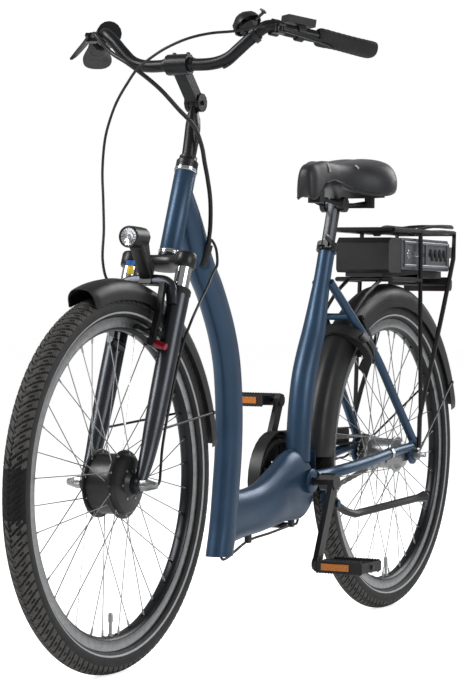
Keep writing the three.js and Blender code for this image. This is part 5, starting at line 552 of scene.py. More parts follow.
hub_bolts = [
    tube([polar(FRONT_HUB, away, 2 * pi * i / 6, y) for y in faces], radii, sides, samples)
    for i in range(6) for away, faces, radii, sides, samples in HUB_BOLTS
]
put("front_hub_bolts", gather(*hub_bolts), STEEL, "front_wheel")
put("front_hub_shell", lathe(MOTOR, 96, FRONT_HUB), BLACK, "front_wheel", ["front_hub"])
put("front_spokes", spoke_mesh(FRONT_HUB, *MOTOR_LACING), STEEL, "front_wheel")
put("rear_hub_shell", lathe(GEAR, 80, REAR_HUB), SILVER, "rear_wheel", ["rear_hub"])
put("rear_spokes", spoke_mesh(REAR_HUB, *GEAR_LACING), STEEL, "rear_wheel")


# Mudguards

GUARD_HALF, GUARD_WALL = 30.0, 1.6
GUARD_STEPS, GUARD_END_SHARE, GUARD_END_TAPER = 84, 0.02, 0.1
STAY_R, STAY_LEAD, STAY_OUT = 2.2, 12, 29.4
# Radius and skirt, start and end in degrees, then the stay's eye and its angle and inset at the guard
GUARDS = (
    ("front", FRONT_HUB, (352, 36), (71, 171), steer(LEG_OFFSET, 58, -499), (160, 21.6), "lowers"),
    ("rear", REAR_HUB, (360, 48), (1.5, 164.6), at(-16, 71.1, TYRE_R), (154, 28.8), "frame"),
)


def guard_mesh(hub, radius, skirt, start, end):
    """A thin curved channel with rolled edges, a little smaller at both ends."""
    outside = spline([(0, 0), (18.6, -0.12 * skirt), (27.9, -0.45 * skirt), (GUARD_HALF, -skirt)], 12)
    rolled = [(GUARD_HALF, -skirt - 0.6), (28.9, -skirt - 0.9), (27.9, -skirt)]
    inside = [(y * 0.94, r - GUARD_WALL) for y, r in outside[:-1]][::-1]
    right = [*outside, *rolled, *inside]
    section = right + [(-y, r) for y, r in right[1:-1]][::-1]
    rings = []
    for share in np.linspace(0, 1, GUARD_STEPS + 1):
        a = radians(start + (end - start) * share)
        near_end = max(0.0, 1 - min(share, 1 - share) / GUARD_END_SHARE)
        taper = 1 - GUARD_END_TAPER * near_end**2
        rings.append([polar(hub, radius + r * (taper if r < -3 else 1), a, y * taper) for y, r in section])
    return loft(rings)


def stay_wire(start, end):
    """A bent wire from its eye to a bolt at the guard's edge."""
    bolt = tube([end - SIDE * 3.2, end + SIDE * 3.0], (4.2, 4.2, 3.2), 10, 4)
    return gather(tube([start, start + unit(end - start) * STAY_LEAD, end], STAY_R, 10), bolt)


for name, hub, (radius, skirt), (start, end), eye, (angle, inset), body in GUARDS:
    stay = stay_wire(eye, polar(hub, radius - inset, radians(angle), STAY_OUT))
    shape = gather(guard_mesh(hub, radius, skirt, start, end), both(stay))
    put(f"{name}_guard", shape, GUARD, body, [f"{name}_mudguard"])


# Frame

DOWN_TOP, DOWN_FOOT = steer(0, 0, -41), at(743, 0, 170)
DOWN_HALF_DEPTH, DOWN_HALF_WIDTH = 30, 23
# Forward and up from the foot to the top, then depth and width
DOWN_SHARES = [
    (1, 1, 0.75, 0.8), (0.837, 0.934, 0.9, 0.9), (0.533, 0.806, 1, 1), (0.298, 0.738, 1, 1),
    (0.019, 0.631, 1, 1), (-0.124, 0.542, 1, 1), (-0.186, 0.452, 1, 1), (-0.205, 0.383, 1, 1),
    (-0.192, 0.279, 1, 1), (-0.155, 0.203, 1, 1), (-0.081, 0.078, 1, 1), (0, 0, 1, 1),
]
DOWN_RINGS, DOWN_LEVEL_RINGS = 72, 9
HEAD_SECTION = [
    (16, -HEAD_LENGTH), (19.2, -HEAD_LENGTH), (19.5, 0.7 - HEAD_LENGTH), (19.5, -0.7), (19.2, 0), (16, 0),
]
CUP = [
    (16, 0), (20.6, 0), (21.2, 0.8), (21.2, 3.2), (20.2, 3.9), (20.2, 4.6), (20.6, 5.2), (20.6, 6.6),
    (20.0, 7), (16, 7),
]
PORT = at(851, 23, 724)
PORT_LINE, PORT_RADII = ([2.2, -9, -20], [-1.15, -1.9, 0], [-4.5, 2.2, 20]), (6.6, 8.6, 8.9)


def down_tube_mesh():
    """The tube's rings turn level at its flat cut end."""
    rows = stations(DOWN_FOOT, DOWN_TOP, DOWN_SHARES, (DOWN_HALF_DEPTH, DOWN_HALF_WIDTH), DOWN_RINGS)
    way = headings([(x, 0, z) for x, z, _, _ in rows])
    first_level = DOWN_RINGS - 1 - DOWN_LEVEL_RINGS
    rings = []
    for i, (x, z, depth, width) in enumerate(rows):
        share = min(1.0, max(0.0, (i - first_level) / DOWN_LEVEL_RINGS))
        d = unit(way[i] * (1 - share) - ABOVE * share)
        rings.append(oval(at(x, 0, z), at(-d[2], 0, d[0]), SIDE, depth, width, 40, 2.3))
    return loft(rings)


head = lathe(HEAD_SECTION, 56, HEAD_TOP, UP)
low_cup = [(r, -HEAD_LENGTH - h) for r, h in CUP]
cups = gather(lathe(CUP, 48, HEAD_TOP, UP), lathe(low_cup, 48, HEAD_TOP, UP))
put("headset_cups", cups, CHROME, "frame")
put("down_tube_skin", gather(down_tube_mesh(), head), PAINT, "frame", ["down_tube"], sharp=45)
port_hood = tube([PORT + p for p in PORT_LINE], PORT_RADII, 20, 12)
put("cable_port", port_hood, PLASTIC, "frame", sharp=60)

BEAM_FRONT, BEAM_REAR = at(735, 0, 236.5), at(379, 0, 285)
BEAM_HALF_HEIGHT, BEAM_HALF_WIDTH = 50, 25
# Back and up from the front to the rear, then height and width
BEAM_SHARES = [
    (0, 0, 1, 0.9), (0.228, 0.134, 0.9, 0.92), (0.407, 0.278, 0.95, 0.95), (0.587, 0.629, 1.14, 1),
    (0.716, 0.93, 1.33, 1), (0.81, 1, 1.4, 1), (0.9, 0.93, 1.28, 1), (0.965, 0.9, 0.95, 0.92),
    (1, 0.9, 0.45, 0.7),
]
BRACKET_SECTION = [(9, -34), (22.6, -34), (24, -32.8), (24, 32.8), (22.6, 34), (9, 34)]
CLIPS, CLIP_HALVES = (at(626.8, 0, 196.9), at(443, 0, 214)), (7, 4.5, 12)


def beam_mesh():
    rows = stations(BEAM_FRONT, BEAM_REAR, BEAM_SHARES, (BEAM_HALF_HEIGHT, BEAM_HALF_WIDTH), 56)
    return loft([oval(at(x, 0, z), SIDE, ABOVE, wide, tall, 40, 2.5) for x, z, tall, wide in rows])


shell = lathe(BRACKET_SECTION, 48, BRACKET)
put("lower_beam_skin", gather(beam_mesh(), shell), PAINT, "frame", ["lower_beam"], sharp=45)
clips = [brick(place, CLIP_HALVES) for place in CLIPS]
put("beam_clips", gather(*clips), PLASTIC, "frame", bevel=1.0)

# Forward and down from the top to the foot, then the share of the swelling
SEAT_SHARES = [
    (0, 0, 0), (0.184, 0.157, 0.05), (0.29, 0.246, 0.3), (0.46, 0.393, 0.85), (0.66, 0.51, 1),
    (0.81, 0.61, 1), (0.915, 0.742, 1), (0.98, 0.9, 1), (1, 1, 1),
]
SEAT_TUBE_R, SEAT_SWELL = 16.6, 7.9


def seat_tube_mesh():
    rows = stations(SEAT_TOP, SEAT_FOOT, SEAT_SHARES, (SEAT_SWELL,), 64) + [0, 0, SEAT_TUBE_R]
    way = headings([(x, 0, z) for x, z, _ in rows])
    return loft([oval(at(x, 0, z), at(-d[2], 0, d[0]), SIDE, r, r, 36) for (x, z, r), d in zip(rows, way)])


put("seat_tube_skin", seat_tube_mesh(), PAINT, "frame", ["seat_tube"])

# Back, out and up from the bracket to the dropout
CHAIN_SHARES = [
    (0, 0, 0), (0.13, 0.1, 0.06), (0.24, 0.44, 0.2), (0.5, 0.79, 0.5), (0.76, 0.93, 0.8), (1, 1, 1),
]
CHAIN_STAY_START, CHAIN_STAY_SPAN = at(392, 26, 300), at(-384, 38, 43)
CHAIN_STAY_RADII = (12, 12, 11.6, 11, 10.2, 9.2)
DROPOUT_R, DROPOUT_FACES = 20, (62, 68)
DROPOUT_TOP = [(20, 346), (9, 360), (2, 364.5), (-13, 364.5), (-18, 360), (-20, 346)]
STAND_HUB, STAND_AXIS = at(335, 40, 243), unit([-0.1, 1, 0.05])
STAND_BOLT = [(0, 9.6), (8.6, 9.6), (9, 10.2), (9, 13), (8.2, 13.7), (0, 13.7)]
# Centre and half sizes of the bridges and of the kickstand's plate
PLATES = (((352, 0, 300), (7, 26, 9)), ((361.4, 0, 325), (1, 12, 25)), ((335, 24.5, 265), (12, 4.2, 34)))

chain_line = [CHAIN_STAY_START + CHAIN_STAY_SPAN * share for share in CHAIN_SHARES]
dropout = [(DROPOUT_R * cos(a), TYRE_R + DROPOUT_R * sin(a)) for a in np.linspace(-pi, 0, 15)]
dropout += DROPOUT_TOP
half_rear = gather(tube(chain_line, CHAIN_STAY_RADII, 20, 40), slab(dropout, *DROPOUT_FACES))
stand_pin = tube([STAND_HUB - STAND_AXIS * 17, STAND_HUB + STAND_AXIS * 12.5], 5, 16)
stand_bolt = lathe(STAND_BOLT, 6, STAND_HUB, STAND_AXIS, closed=False)
plates = [brick(place, halves) for place, halves in PLATES]
put("rear_triangle_low", gather(both(half_rear), *plates, stand_pin, stand_bolt), PAINT, "frame",
    ["chainstays"], bevel=1.0)

STAY_FOOT, STAY_BEND, STAY_TOP = at(-4, 64, 356), at(169, 52, 541), at(310, 15, 685)
BOSS_Y, BOSS_UP, BOSS_AWAY, BOSS_TIP = 40, 250, 37, 49
BOSS_BOLT = [(0, 47.5), (6, 47.5), (6.6, 48.2), (6.6, 50.6), (5.8, 51.4), (0, 51.4)]
BRIDGE_REACH, BRIDGE_HALF = 378, 37
span_dir = unit((STAY_TOP - STAY_FOOT) * [1, 0, 1])
stay_back = at(-span_dir[2], 0, span_dir[0])
lift = float((STAY_FOOT - REAR_HUB) @ stay_back)


def on_stay(away, y, up):
    """A point measured from the rear hub along the seat stays and square to them."""
    return REAR_HUB + away * stay_back + y * SIDE + up * span_dir


stay_line = [
    STAY_FOOT,
    STAY_FOOT * 0.5 + STAY_BEND * 0.5,
    STAY_BEND * 0.92 + STAY_FOOT * 0.04 + STAY_TOP * 0.04,
    STAY_BEND * 0.5 + STAY_TOP * 0.5,
    STAY_TOP,
]
stay_half = gather(
    tube(stay_line, 9, 20, 40),
    tube([on_stay(lift, 44, BOSS_UP), on_stay(BOSS_AWAY, BOSS_Y, BOSS_UP)], 6.5, 14),
    tube([on_stay(BOSS_AWAY, BOSS_Y, BOSS_UP), on_stay(BOSS_TIP, BOSS_Y, BOSS_UP)], 3.7, 12),
    lathe(BOSS_BOLT, 6, on_stay(0, BOSS_Y, BOSS_UP), stay_back, closed=False),
)
bridge_up = sqrt(BRIDGE_REACH**2 - lift**2)
stay_bridge = tube([on_stay(lift, -BRIDGE_HALF, bridge_up), on_stay(lift, BRIDGE_HALF, bridge_up)], 7, 20)
put("seat_stays_skin", gather(both(stay_half), stay_bridge), PAINT, "frame", ["seatstays"],
    bevel=0.5)


# Handlebar and grips

BAR_BACK, BAR_HALF, BAR_RISE, BAR_END_RISE = 187, 300, 64, 34
BAR_R = 11.1
# Back, out and up from the clamp to where the hand's straight starts
BEND = [
    (0, 0.12, 0), (0.005, 0.233, 0), (0.016, 0.327, 0.14), (0.037, 0.4, 0.42), (0.07, 0.477, 0.75),
    (0.112, 0.553, 1),
]
BULGE = [(0, -32), (11.2, -32), (12.7, -27), (12.7, 27), (11.2, 32), (0, 32)]
bar_centre = steer(93.4, 0, 169.8)
half_bar = [bar_centre + [-b * BAR_BACK, o * BAR_HALF, u * BAR_RISE] for b, o, u in BEND]
hand_start = half_bar[-1]
hand_end = bar_centre + [-BAR_BACK, BAR_HALF, BAR_END_RISE]
hand_dir = unit(hand_end - hand_start)
hand_length = float(np.linalg.norm(hand_end - hand_start))
hand_forward = unit(np.cross(hand_dir, ABOVE))
hand_down = np.cross(hand_dir, hand_forward)


def in_hand(x, y, z, side=1):
    """A point measured from the start of a hand's straight, forward, down and along it."""
    p = hand_start + x * hand_forward + y * hand_down + z * hand_dir
    return p if side > 0 else flip(p)


left_bar = half_bar[1:] + [hand_start + hand_dir * 40, hand_start + hand_dir * 90, hand_end - hand_dir * 8]
bar_line = spline([flip(p) for p in reversed(left_bar)] + [half_bar[0] * [1, 0, 1]] + left_bar, 120)
bulge = lathe(BULGE, 32, bar_centre, closed=False)
bar = gather(tube(bar_line, BAR_R, 24), bulge)
put("handlebar_tube", bar, SATIN, "bars", ["handlebar"])

# Share of the length, width and height in radii, and how far the palm rest is set back
GRIP = [
    (0, 0.95, 0.95, 0), (0.03, 1.06, 1.06, 0), (0.3, 1.06, 1.02, 0.1), (0.6, 1.55, 0.98, 0.6),
    (0.85, 1.8, 0.98, 0.93), (0.96, 1.68, 0.98, 0.97), (0.985, 1.55, 0.92, 0.85), (0.99, 1.4, 0.8, 0.7),
]
GRIP_START, GRIP_R, GRIP_SHIFT = 98, 15.5, 14
GROOVE_DEPTH, FIRST_GROOVE, LAST_GROOVE = 0.3, 6, 50


def grip_mesh():
    """A grip with a palm rest and fine ribs around it."""
    length = hand_length - GRIP_START
    rows = spline([(s * length, w * GRIP_R, h * GRIP_R, shift * GRIP_SHIFT) for s, w, h, shift in GRIP], 60)
    rings = []
    for i, (along, wide, tall, shift) in enumerate(rows):
        groove = GROOVE_DEPTH if FIRST_GROOVE < i < LAST_GROOVE and i % 4 < 2 else 0.0
        middle = in_hand(-shift, 0, GRIP_START + along)
        rings.append(oval(middle, hand_forward, hand_down, wide - groove, tall - groove, 40, 2.5))
    return loft(rings)


put("grip_left_pad", grip_mesh(), RUBBER, "bars", ["grip_left"], sharp=60)
put("grip_right_pad", mirror(grip_mesh()), RUBBER, "bars", ["grip_right"], sharp=60)


# Saddle

SADDLE_BACK, SADDLE_LENGTH, SADDLE_HALF = 140, 265, 98
SADDLE_TOP, SADDLE_DEPTH = 940, 95
# Share of the length from the back, half width, then how far the top and the underside lie down
SADDLE_ROWS = [
    (0, 0.5, 0.1, 0.42), (0.02, 0.78, 0.03, 0.56), (0.07, 0.94, 0, 0.7), (0.14, 1, 0, 0.79),
    (0.22, 0.97, 0.03, 0.83), (0.31, 0.84, 0.07, 0.83), (0.4, 0.64, 0.1, 0.8), (0.5, 0.47, 0.125, 0.73),
    (0.6, 0.36, 0.13, 0.62), (0.7, 0.3, 0.125, 0.56), (0.8, 0.26, 0.135, 0.64), (0.88, 0.24, 0.19, 0.86),
    (0.94, 0.22, 0.24, 0.98), (0.98, 0.17, 0.33, 0.97), (1, 0.09, 0.5, 0.8),
]
SADDLE_SECTION = [
    (0, 1), (0.22, 0.995), (0.44, 0.97), (0.64, 0.91), (0.81, 0.8), (0.93, 0.62), (0.99, 0.4), (1, 0.2),
    (0.97, 0.04), (0.88, 0), (0.6, 0.05), (0.3, 0.08), (0, 0.09),
]
SADDLE_RINGS = 58
# The shallow channel along the middle: depth, half width, and its middle and reach as shares of the length
CHANNEL_DEPTH, CHANNEL_HALF, CHANNEL_MIDDLE, CHANNEL_REACH = 5.0, 9.0, 0.55, 0.28


def saddle_spot(share, half, down):
    return at(SADDLE_BACK + share * SADDLE_LENGTH, half * SADDLE_HALF, SADDLE_TOP - down * SADDLE_DEPTH)


def saddle_mesh():
    rows = [(*saddle_spot(f, w, t), saddle_spot(f, w, u)[2]) for f, w, t, u in SADDLE_ROWS]
    section = spline(SADDLE_SECTION, 40)
    rings = []
    for n, (x, half, top, under) in enumerate(spline(rows, SADDLE_RINGS)):
        near = exp(-(((n / (SADDLE_RINGS - 1) - CHANNEL_MIDDLE) / CHANNEL_REACH) ** 2))
        ring = []
        for out, up in section:
            y, z = out * half, under + up * (top - under)
            if up > 0.5:
                z -= CHANNEL_DEPTH * near * exp(-((y / CHANNEL_HALF) ** 2))
            ring.append((x, y, z))
        ring = np.array(ring)
        rings.append(np.vstack([ring, flip(ring[1:-1])[::-1]]))
    return loft(rings)


saddle = put("saddle_cover", saddle_mesh(), SADDLE, "saddle", ["saddle_cushion"], sharp=80)
smooth = saddle.modifiers.new("cover", "SUBSURF")
smooth.levels = 1
smooth.render_levels = 1


def saddle_row(share):
    """Half width, top and underside at a share of the length."""
    shares, *columns = np.array(SADDLE_ROWS).T
    return [np.interp(share, shares, column) for column in columns]


def saddle_low(share):
    """The cover's lower edge on the left."""
    half, top, under = saddle_row(share)
    return saddle_spot(share, 0.975 * half, under - 0.06 * (under - top))


def saddle_point(share, out, proud):
    """A point on the left of the cover; out runs from its middle to its side."""
    half, top, under = saddle_row(share)
    up = np.interp(out, *zip(*SADDLE_SECTION[:8]))
    return saddle_spot(share, out * half, under - up * (under - top)) + [0, proud * out, proud * up]


hem = [saddle_low(share) for share in np.linspace(0.05, 0.97, 60)]
put("saddle_piping", both(tube(hem, 1.4, 8)), BLACK, "saddle")
marks = []
for share, inner, outer in ((0.76, 0.72, 0.97), (0.43, 0.72, 0.84)):
    line = [saddle_point(share, out, 0.9) for out in np.linspace(inner, outer, 8)]
    marks.append(tube(line, 1.9, 8))
put("saddle_marks", both(gather(*marks)), ACCENT, "saddle")


# Cables

CABLE_SIDES, CABLE_SAMPLES = 12, 160
BARREL_FOOT, BARREL_TIP = (24.4, 5.2, 4.5), (24.4, 7.2, -15.5)
THIN_CABLE_R, BUNDLE_R, WIRE_R = 2.5, 4.0, 1.25
WIRE_FORWARD, WIRE_UP = 69.05, 354.8


def near_front(forward, y, up):
    """A point measured from the front axle's height, along the steering's own axes."""
    return steer(forward, y, up - FORK_LENGTH)


def barrel(side, radius):
    """The first two points of a cable, out of a lever's barrel."""
    tip, foot = in_hand(*BARREL_TIP, side), in_hand(*BARREL_FOOT, side)
    out = unit(tip - foot)
    return [tip - out * 6, tip + out * 4 * radius]


# Cable points from the head tube's top, the port or the front axle; the beam's are the part's own
BRAKE_HEAD = (
    (70.4, 133, 241.8), (95.4, 99, 236.8), (110.4, 63, 227.8), (115.4, 21, 211.8), (115.4, -9, 195.8),
    (110.4, -39, 177.8), (105.4, -61, 154.8), (100.4, -85, 123.8), (100.4, -98, 94.8), (100.4, -109, 57.8),
    (105.4, -111, 0.8), (115.4, -103, -48.2), (130.4, -92, -106.2), (146.4, -84, -162.2),
    (153.4, -70, -195.2),
)
CONTROL_HEAD = (
    (55.4, -128, 217.8), (64.4, -80, 190.8), (48.4, -30, 149.8), (25.4, -2, 112.8), (2.4, 18, 82.8),
    (-10.6, 27, 47.8), (-16.6, 30, 18.8), (-27.6, 30, -7.2), (-39.6, 30, -47.2), (-42.6, 29, -95.2),
)
CONTROL_PORT = (-2, 3.4, 21.3)
MOTOR_PORT = (
    (-11.5, 1, 20.3), (-14, 3, 29), (-22, 7, 18), (-28, 8, 1), (-24, 10, -17), (-2, 13, -33),
    (31, 20, -57),
)
MOTOR_FRONT = (
    (-40.3, 54, 358), (-13.2, 62, 319), (4, 64, 268.3), (8, 63, 178.3), (10, 66, 78.3), (14, 73, 38.3),
    (22, 80, 12.3), (31, 81, 1.3),
)
BEAM_LINE = (
    (735, 0, 166.4), (729, 0, 162), (710, 0, 164), (687.7, 0, 171), (626.8, 0, 188.9), (534, 0, 197),
    (443, 0, 206), (400, -8, 208), (366, -22, 240), (340, -30, 274), (300, -43, 291), (200, -58, 307),
    (100, -62, 318), (40, -74, 318), (16, -77, 322),
)
brake_route = barrel(1, THIN_CABLE_R) + [HEAD_TOP + p for p in BRAKE_HEAD]
brake_route += [near_front(WIRE_FORWARD, y, WIRE_UP) for y in (-56, -38)]
control_route = barrel(-1, BUNDLE_R) + [HEAD_TOP + p for p in CONTROL_HEAD] + [PORT + CONTROL_PORT]
motor_route = [PORT + p for p in MOTOR_PORT] + [near_front(*p) for p in MOTOR_FRONT]


def split_cable(name, route, radius, node, cut, bodies, spans):
    """A cable that crosses two joints, as two pieces that meet at a share of its run."""
    line = spline(route, CABLE_SAMPLES)
    middle = int(cut * CABLE_SAMPLES)
    halves = ((line[: middle + 1], bodies[:2], spans[0]), (line[middle:], bodies[1:], spans[1]))
    for n, (part, pair, span) in enumerate(halves):
        shape = tube(part, radius, CABLE_SIDES)
        piece = put(f"{name}_{n + 1}", shape, CABLE, None, [node] if n == 0 else [], sharp=60)
        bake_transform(piece)


split_cable("front_brake_line", brake_route, THIN_CABLE_R, "front_brake_cable", 0.5,
            ("bars", "steering", "lowers"), ((0.0, 1.0), (0.2, 0.85)))
split_cable("control_line", control_route, BUNDLE_R, "control_cables", 0.45,
            ("bars", "steering", "frame"), ((0.0, 1.0), (0.0, 0.9)))
split_cable("motor_line", motor_route, THIN_CABLE_R, "motor_cable", 0.5,
            ("frame", "steering", "lowers"), ((0.05, 1.0), (0.1, 0.9)))
noodle = tube([near_front(WIRE_FORWARD, y, WIRE_UP) for y in (-39, 47)], WIRE_R, 8)
put("front_brake_wire", noodle, STEEL, "lowers")
put("beam_line", tube(BEAM_LINE, THIN_CABLE_R, 12, 120), CABLE, "frame", ["beam_cable"])


# Fork and stem

STACK = [
    (11.3, -165), (14.3, -165), (14.3, 7.2), (19.4, 7.3), (20, 8), (20, 12), (19.4, 12.6), (19.4, 13.6),
    (20, 14.2), (20, 20.6), (19.2, 21.6), (17, 23.4), (16.2, 24.6), (16.2, 30.4), (15.4, 31.3),
    (11.3, 31.3),
]
RACE = [(14.3, -167), (20.4, -167), (21, -166), (20.4, -161.4), (19.4, -160.6), (14.3, -160.6)]
# Out, forward and up along the crown, then its half depth and half height
CROWN = [
    (0, 3, -177.5, 25, 13), (18, 7, -178.5, 23, 12.5), (34, 20, -181, 18, 12), (46, 29, -183.5, 16, 11.5),
    (58, 33, -184, 13, 11),
]
SLEEVE = [
    (0, -169), (13, -169), (17.6, -170.6), (19.4, -174), (19.4, -194), (18.6, -195.6), (17, -196.4),
    (0, -196.4),
]
WIPER = [(14.2, -238), (19.4, -238), (20.2, -239), (20.2, -247), (19.2, -248.4), (14.2, -248.4)]
WIPER_LIP = [(14.2, -235), (16.4, -235), (17.6, -236), (19.2, -238), (14.2, -238)]
STANCHION_R, STANCHION_ENDS = 14, (-190, -400)
# Forward and up along the leg, then its radius
LEG = [
    (32, -246, 19), (32, -262, 19), (32, -300, 18.4), (32, -420, 18), (32.4, -490, 16.6), (33.6, -540, 14),
    (36.6, -570, 12), (40, -590, 10.5),
]
RIB_SET_IN, RIB_DEPTH, RIB_WIDTH = 0.75, 5.5, 4.2
FORK_END_R, FORK_END_FACES = 15, (49.6, 50.4, 55.6, 56.4)
ARCH = ((50, 54, -272), (56.5, 53, -254), (58, 48, -241), (58, 36, -233), (58, 18, -230.5))
BRAKE_STUD_Y, BRAKE_STUD_UP = 40, -348.3
# Each part of the brake's stud: where it starts and ends, its radii, sides and samples
STUD_PARTS = (((34, 64.2), (9, 8.4, 8), 20, 6), ((60, 74), 3.8, 16, None), ((73.9, 77), 6.8, 6, None))

leg_axis = steer(LEG_OFFSET, LEG_SPACING, 0)
stack, race = lathe(STACK, 48, HEAD_TOP, UP), lathe(RACE, 48, HEAD_TOP, UP)
crown_rows = [(-y, f, u, hf, hu) for y, f, u, hf, hu in reversed(CROWN[1:])] + CROWN
crown = loft([
    oval(steer(f, y, u), FORWARD, UP, hf, hu, 32, 2.6) for y, f, u, hf, hu in spline(crown_rows, 49)
])
sleeve = lathe(SLEEVE, 40, leg_axis, UP, closed=False)
put("fork_crown", gather(stack, race, crown, both(sleeve)), BLACK, "steering", ["fork_upper"])
stanchion = tube([steer(LEG_OFFSET, LEG_SPACING, up) for up in STANCHION_ENDS], STANCHION_R, 32)
put("fork_stanchions", both(stanchion), CHROME, "steering")
wipers = gather(lathe(WIPER, 40, leg_axis, UP), lathe(WIPER_LIP, 40, leg_axis, UP))
put("fork_wipers", both(wipers), RUBBER, "lowers")
leg_rows = spline(LEG, 60)
leg = loft([oval(steer(f, LEG_SPACING, u), FORWARD, SIDE, r, r, 32) for f, u, r in leg_rows])
rib = loft([
    oval(steer(f - r * RIB_SET_IN, LEG_SPACING, u), FORWARD, SIDE, RIB_DEPTH, RIB_WIDTH, 14)
    for f, u, r in leg_rows[6:52]
])
turns = np.linspace(0, 2 * pi, 32, endpoint=False)
end_ring = [(FORK_END_R * cos(a), FORK_END_R * sin(a)) for a in turns]
fork_end = loft([[steer(FORK_OFFSET + c, y, s - FORK_LENGTH) for c, s in end_ring] for y in FORK_END_FACES])
arch_line = [steer(*p) for p in ARCH]
arch_rows = spline(arch_line + [flip(p) for p in reversed(arch_line)], 60)
arch_way = headings(arch_rows)
arch = loft([
    oval(p, FORWARD, unit(np.cross(FORWARD, d)), 6.0, 10.5, 24, 2.6) for p, d in zip(arch_rows, arch_way)
])
stud = gather(*(
    tube([steer(f, BRAKE_STUD_Y, BRAKE_STUD_UP) for f in ends], radii, sides, samples)
    for ends, radii, sides, samples in STUD_PARTS
))
put("fork_legs", gather(both(gather(leg, rib, fork_end, stud)), arch), DARK_ALLOY, "lowers", ["fork_lowers"],
    sharp=50)

# Forward and up along the quill, then its half depth and half width
QUILL = [
    (0, -90, 11, 11), (0, 31, 11, 11), (0, 32, 12.6, 12.6), (0.4, 44, 13.2, 12.8), (2, 66, 14.6, 13.2),
    (5, 88, 16, 12.8), (9, 106, 15.4, 10.6), (11.4, 115, 13, 6.6), (12.2, 128, 11, 6.4),
]
LUG = [(4.3, -6.8), (15.4, -6.8), (16, -6.2), (16, 6.2), (15.4, 6.8), (4.3, 6.8)]
BRAKE_BARREL = ((69, 44, -349), (68, 50, -351), (66.5, 68, -357))
HARNESS_DROP, HARNESS_R = at(3, 0, -13.5), 2.8
quill = loft([oval(steer(f, 0, u), FORWARD, SIDE, hf, hy, 32, 2.2) for f, u, hf, hy in QUILL])
lug = lathe(LUG, 40, steer(12.2, 0, 132.8))
put("stem_body", gather(quill, lug), SATIN, "steering", ["stem_quill"], sharp=50)
barrel_red = tube([steer(*p) for p in BRAKE_BARREL], (5.4, 6.8, 6.8, 6.0), 24, 12)
put("front_brake_barrel", barrel_red, RED_METAL, "front_arm_left", bevel=0.6)
harness = spline(half_bar, 30)[10:28] + HARNESS_DROP
put("bar_harness", tube(harness, HARNESS_R, 12, 60), CABLE, "bars")


# Pedals

BARREL_ENDS, BARREL_R = (93.5, 194.5), 10.6
TOOTH_START, TOOTH_PITCH, TEETH, TOOTH_TIP, TOOTH_ROOT = 96, 3.0, 33, 13.0, 11.4
RAIL_FACES = (38.6, 43.6)
# Distance ahead of the spindle, places along it, and half sizes of the end plates and of the cross ribs
PEDAL_BARS = ((24.5, (95.5, 192.0), (20.5, 2.3, 9.5)), (26, (120, 144, 168), (16, 2.0, 6.5)))
REFLECTOR_Y, REFLECTOR_HALVES = 137, (1.9, 29, 6.5)


def pedal_mesh(eye, side):
    """Two toothed rails, end plates and cross ribs around the spindle barrel."""
    parts = [tube([eye + side * SIDE * y for y in BARREL_ENDS], BARREL_R, 24)]
    top = [(TOOTH_START + i * TOOTH_PITCH, TOOTH_TIP if i % 2 else TOOTH_ROOT) for i in range(TEETH)]
    outline = top + folded(top)
    for end in (-1, 1):
        parts.append(loft([[eye + [end * x, side * y, z] for y, z in outline] for x in RAIL_FACES]))
        for x, places, halves in PEDAL_BARS:
            parts += [brick(eye + [end * x, side * y, 0], halves) for y in places]
    return gather(*parts)


for side, name, angle in ((1, "left", CRANK_ANGLE), (-1, "right", CRANK_ANGLE + pi)):
    eye = polar(BRACKET, CRANK, angle)
    pedal = f"pedal_{name}"
    put(f"{pedal}_cage", pedal_mesh(eye, side), PLASTIC, pedal, [pedal], bevel=0.5)
    reflectors = [
        brick(eye + [end * RAIL_FACES[1], side * REFLECTOR_Y, 0], REFLECTOR_HALVES) for end in (1, -1)
    ]
    put(f"{pedal}_reflectors", gather(*reflectors), AMBER, pedal, bevel=0.8)


# Lights

FACETS, FACET_SHARE = 18, 0.8
FACET_RINGS = ((4.5, 9.4), (9.8, 15.2))
# How far each corner of a facet stands out of the lamp's face
FACET_LIFTS = (0.4, 1.5, 1.9, 0.8)
BULB = [(0, 4.4), (1.6, 4.0), (3.0, 2.8), (3.8, 1.0), (3.8, 0), (0, 0)]
BEZEL = [(15.6, -1), (16.2, 2.6), (17.4, 3.4), (18.8, 2.6), (19.2, 1), (19.2, -3), (15.6, -3)]
# Share of the way down the neck, then its half width and half depth
NECK = ((0, 12.4, 9), (0.3, 13.2, 9.6), (0.6, 13, 8.6), (0.85, 12.6, 7), (1, 12.2, 6))
PLUG_FOOT = at(1083, 0, 0)
COLLAR = [(0, 702), (7, 702), (7.6, 703), (7.6, 709), (6.6, 710), (0, 710)]
PLUG = [(0, 686), (5, 686), (5.8, 687), (5.8, 698), (4.4, 702), (0, 702)]
REAR_LENS = [(-232.8, 679), (-232.8, 698), (-226, 704), (-221, 704.2), (-221, 673.2), (-226, 673.4)]
REAR_LENS_HALF = 50

lamp_at = steer(103.1, 0, 54.1 - 222)
lamp_face = at((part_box("headlight")[1].x - REAR_X) / MM, lamp_at[1], lamp_at[2])
facets = []
for i in range(FACETS):
    a, b = 2 * pi * i / FACETS, 2 * pi * (i + FACET_SHARE) / FACETS
    for inner, outer in FACET_RINGS:
        corners = ((inner, a), (outer, a), (outer, b), (inner, b))
        base = [lamp_face + r * (cos(t) * SIDE + sin(t) * ABOVE) for r, t in corners]
        facets.append(loft([base, [p + AHEAD * h for p, h in zip(base, FACET_LIFTS)]]))
bulb = lathe(BULB, 20, lamp_face, AHEAD, closed=False)
put("headlight_lens", gather(bulb, *facets), LENS, "lowers", sharp=10)
neck_foot, neck_head = steer(61, 0, -230), lamp_at + [22, 0, -8]
neck_way = neck_foot - neck_head
neck = loft([oval(neck_head + neck_way * t, SIDE, FORWARD, wide, deep, 28, 2.6) for t, wide, deep in NECK])
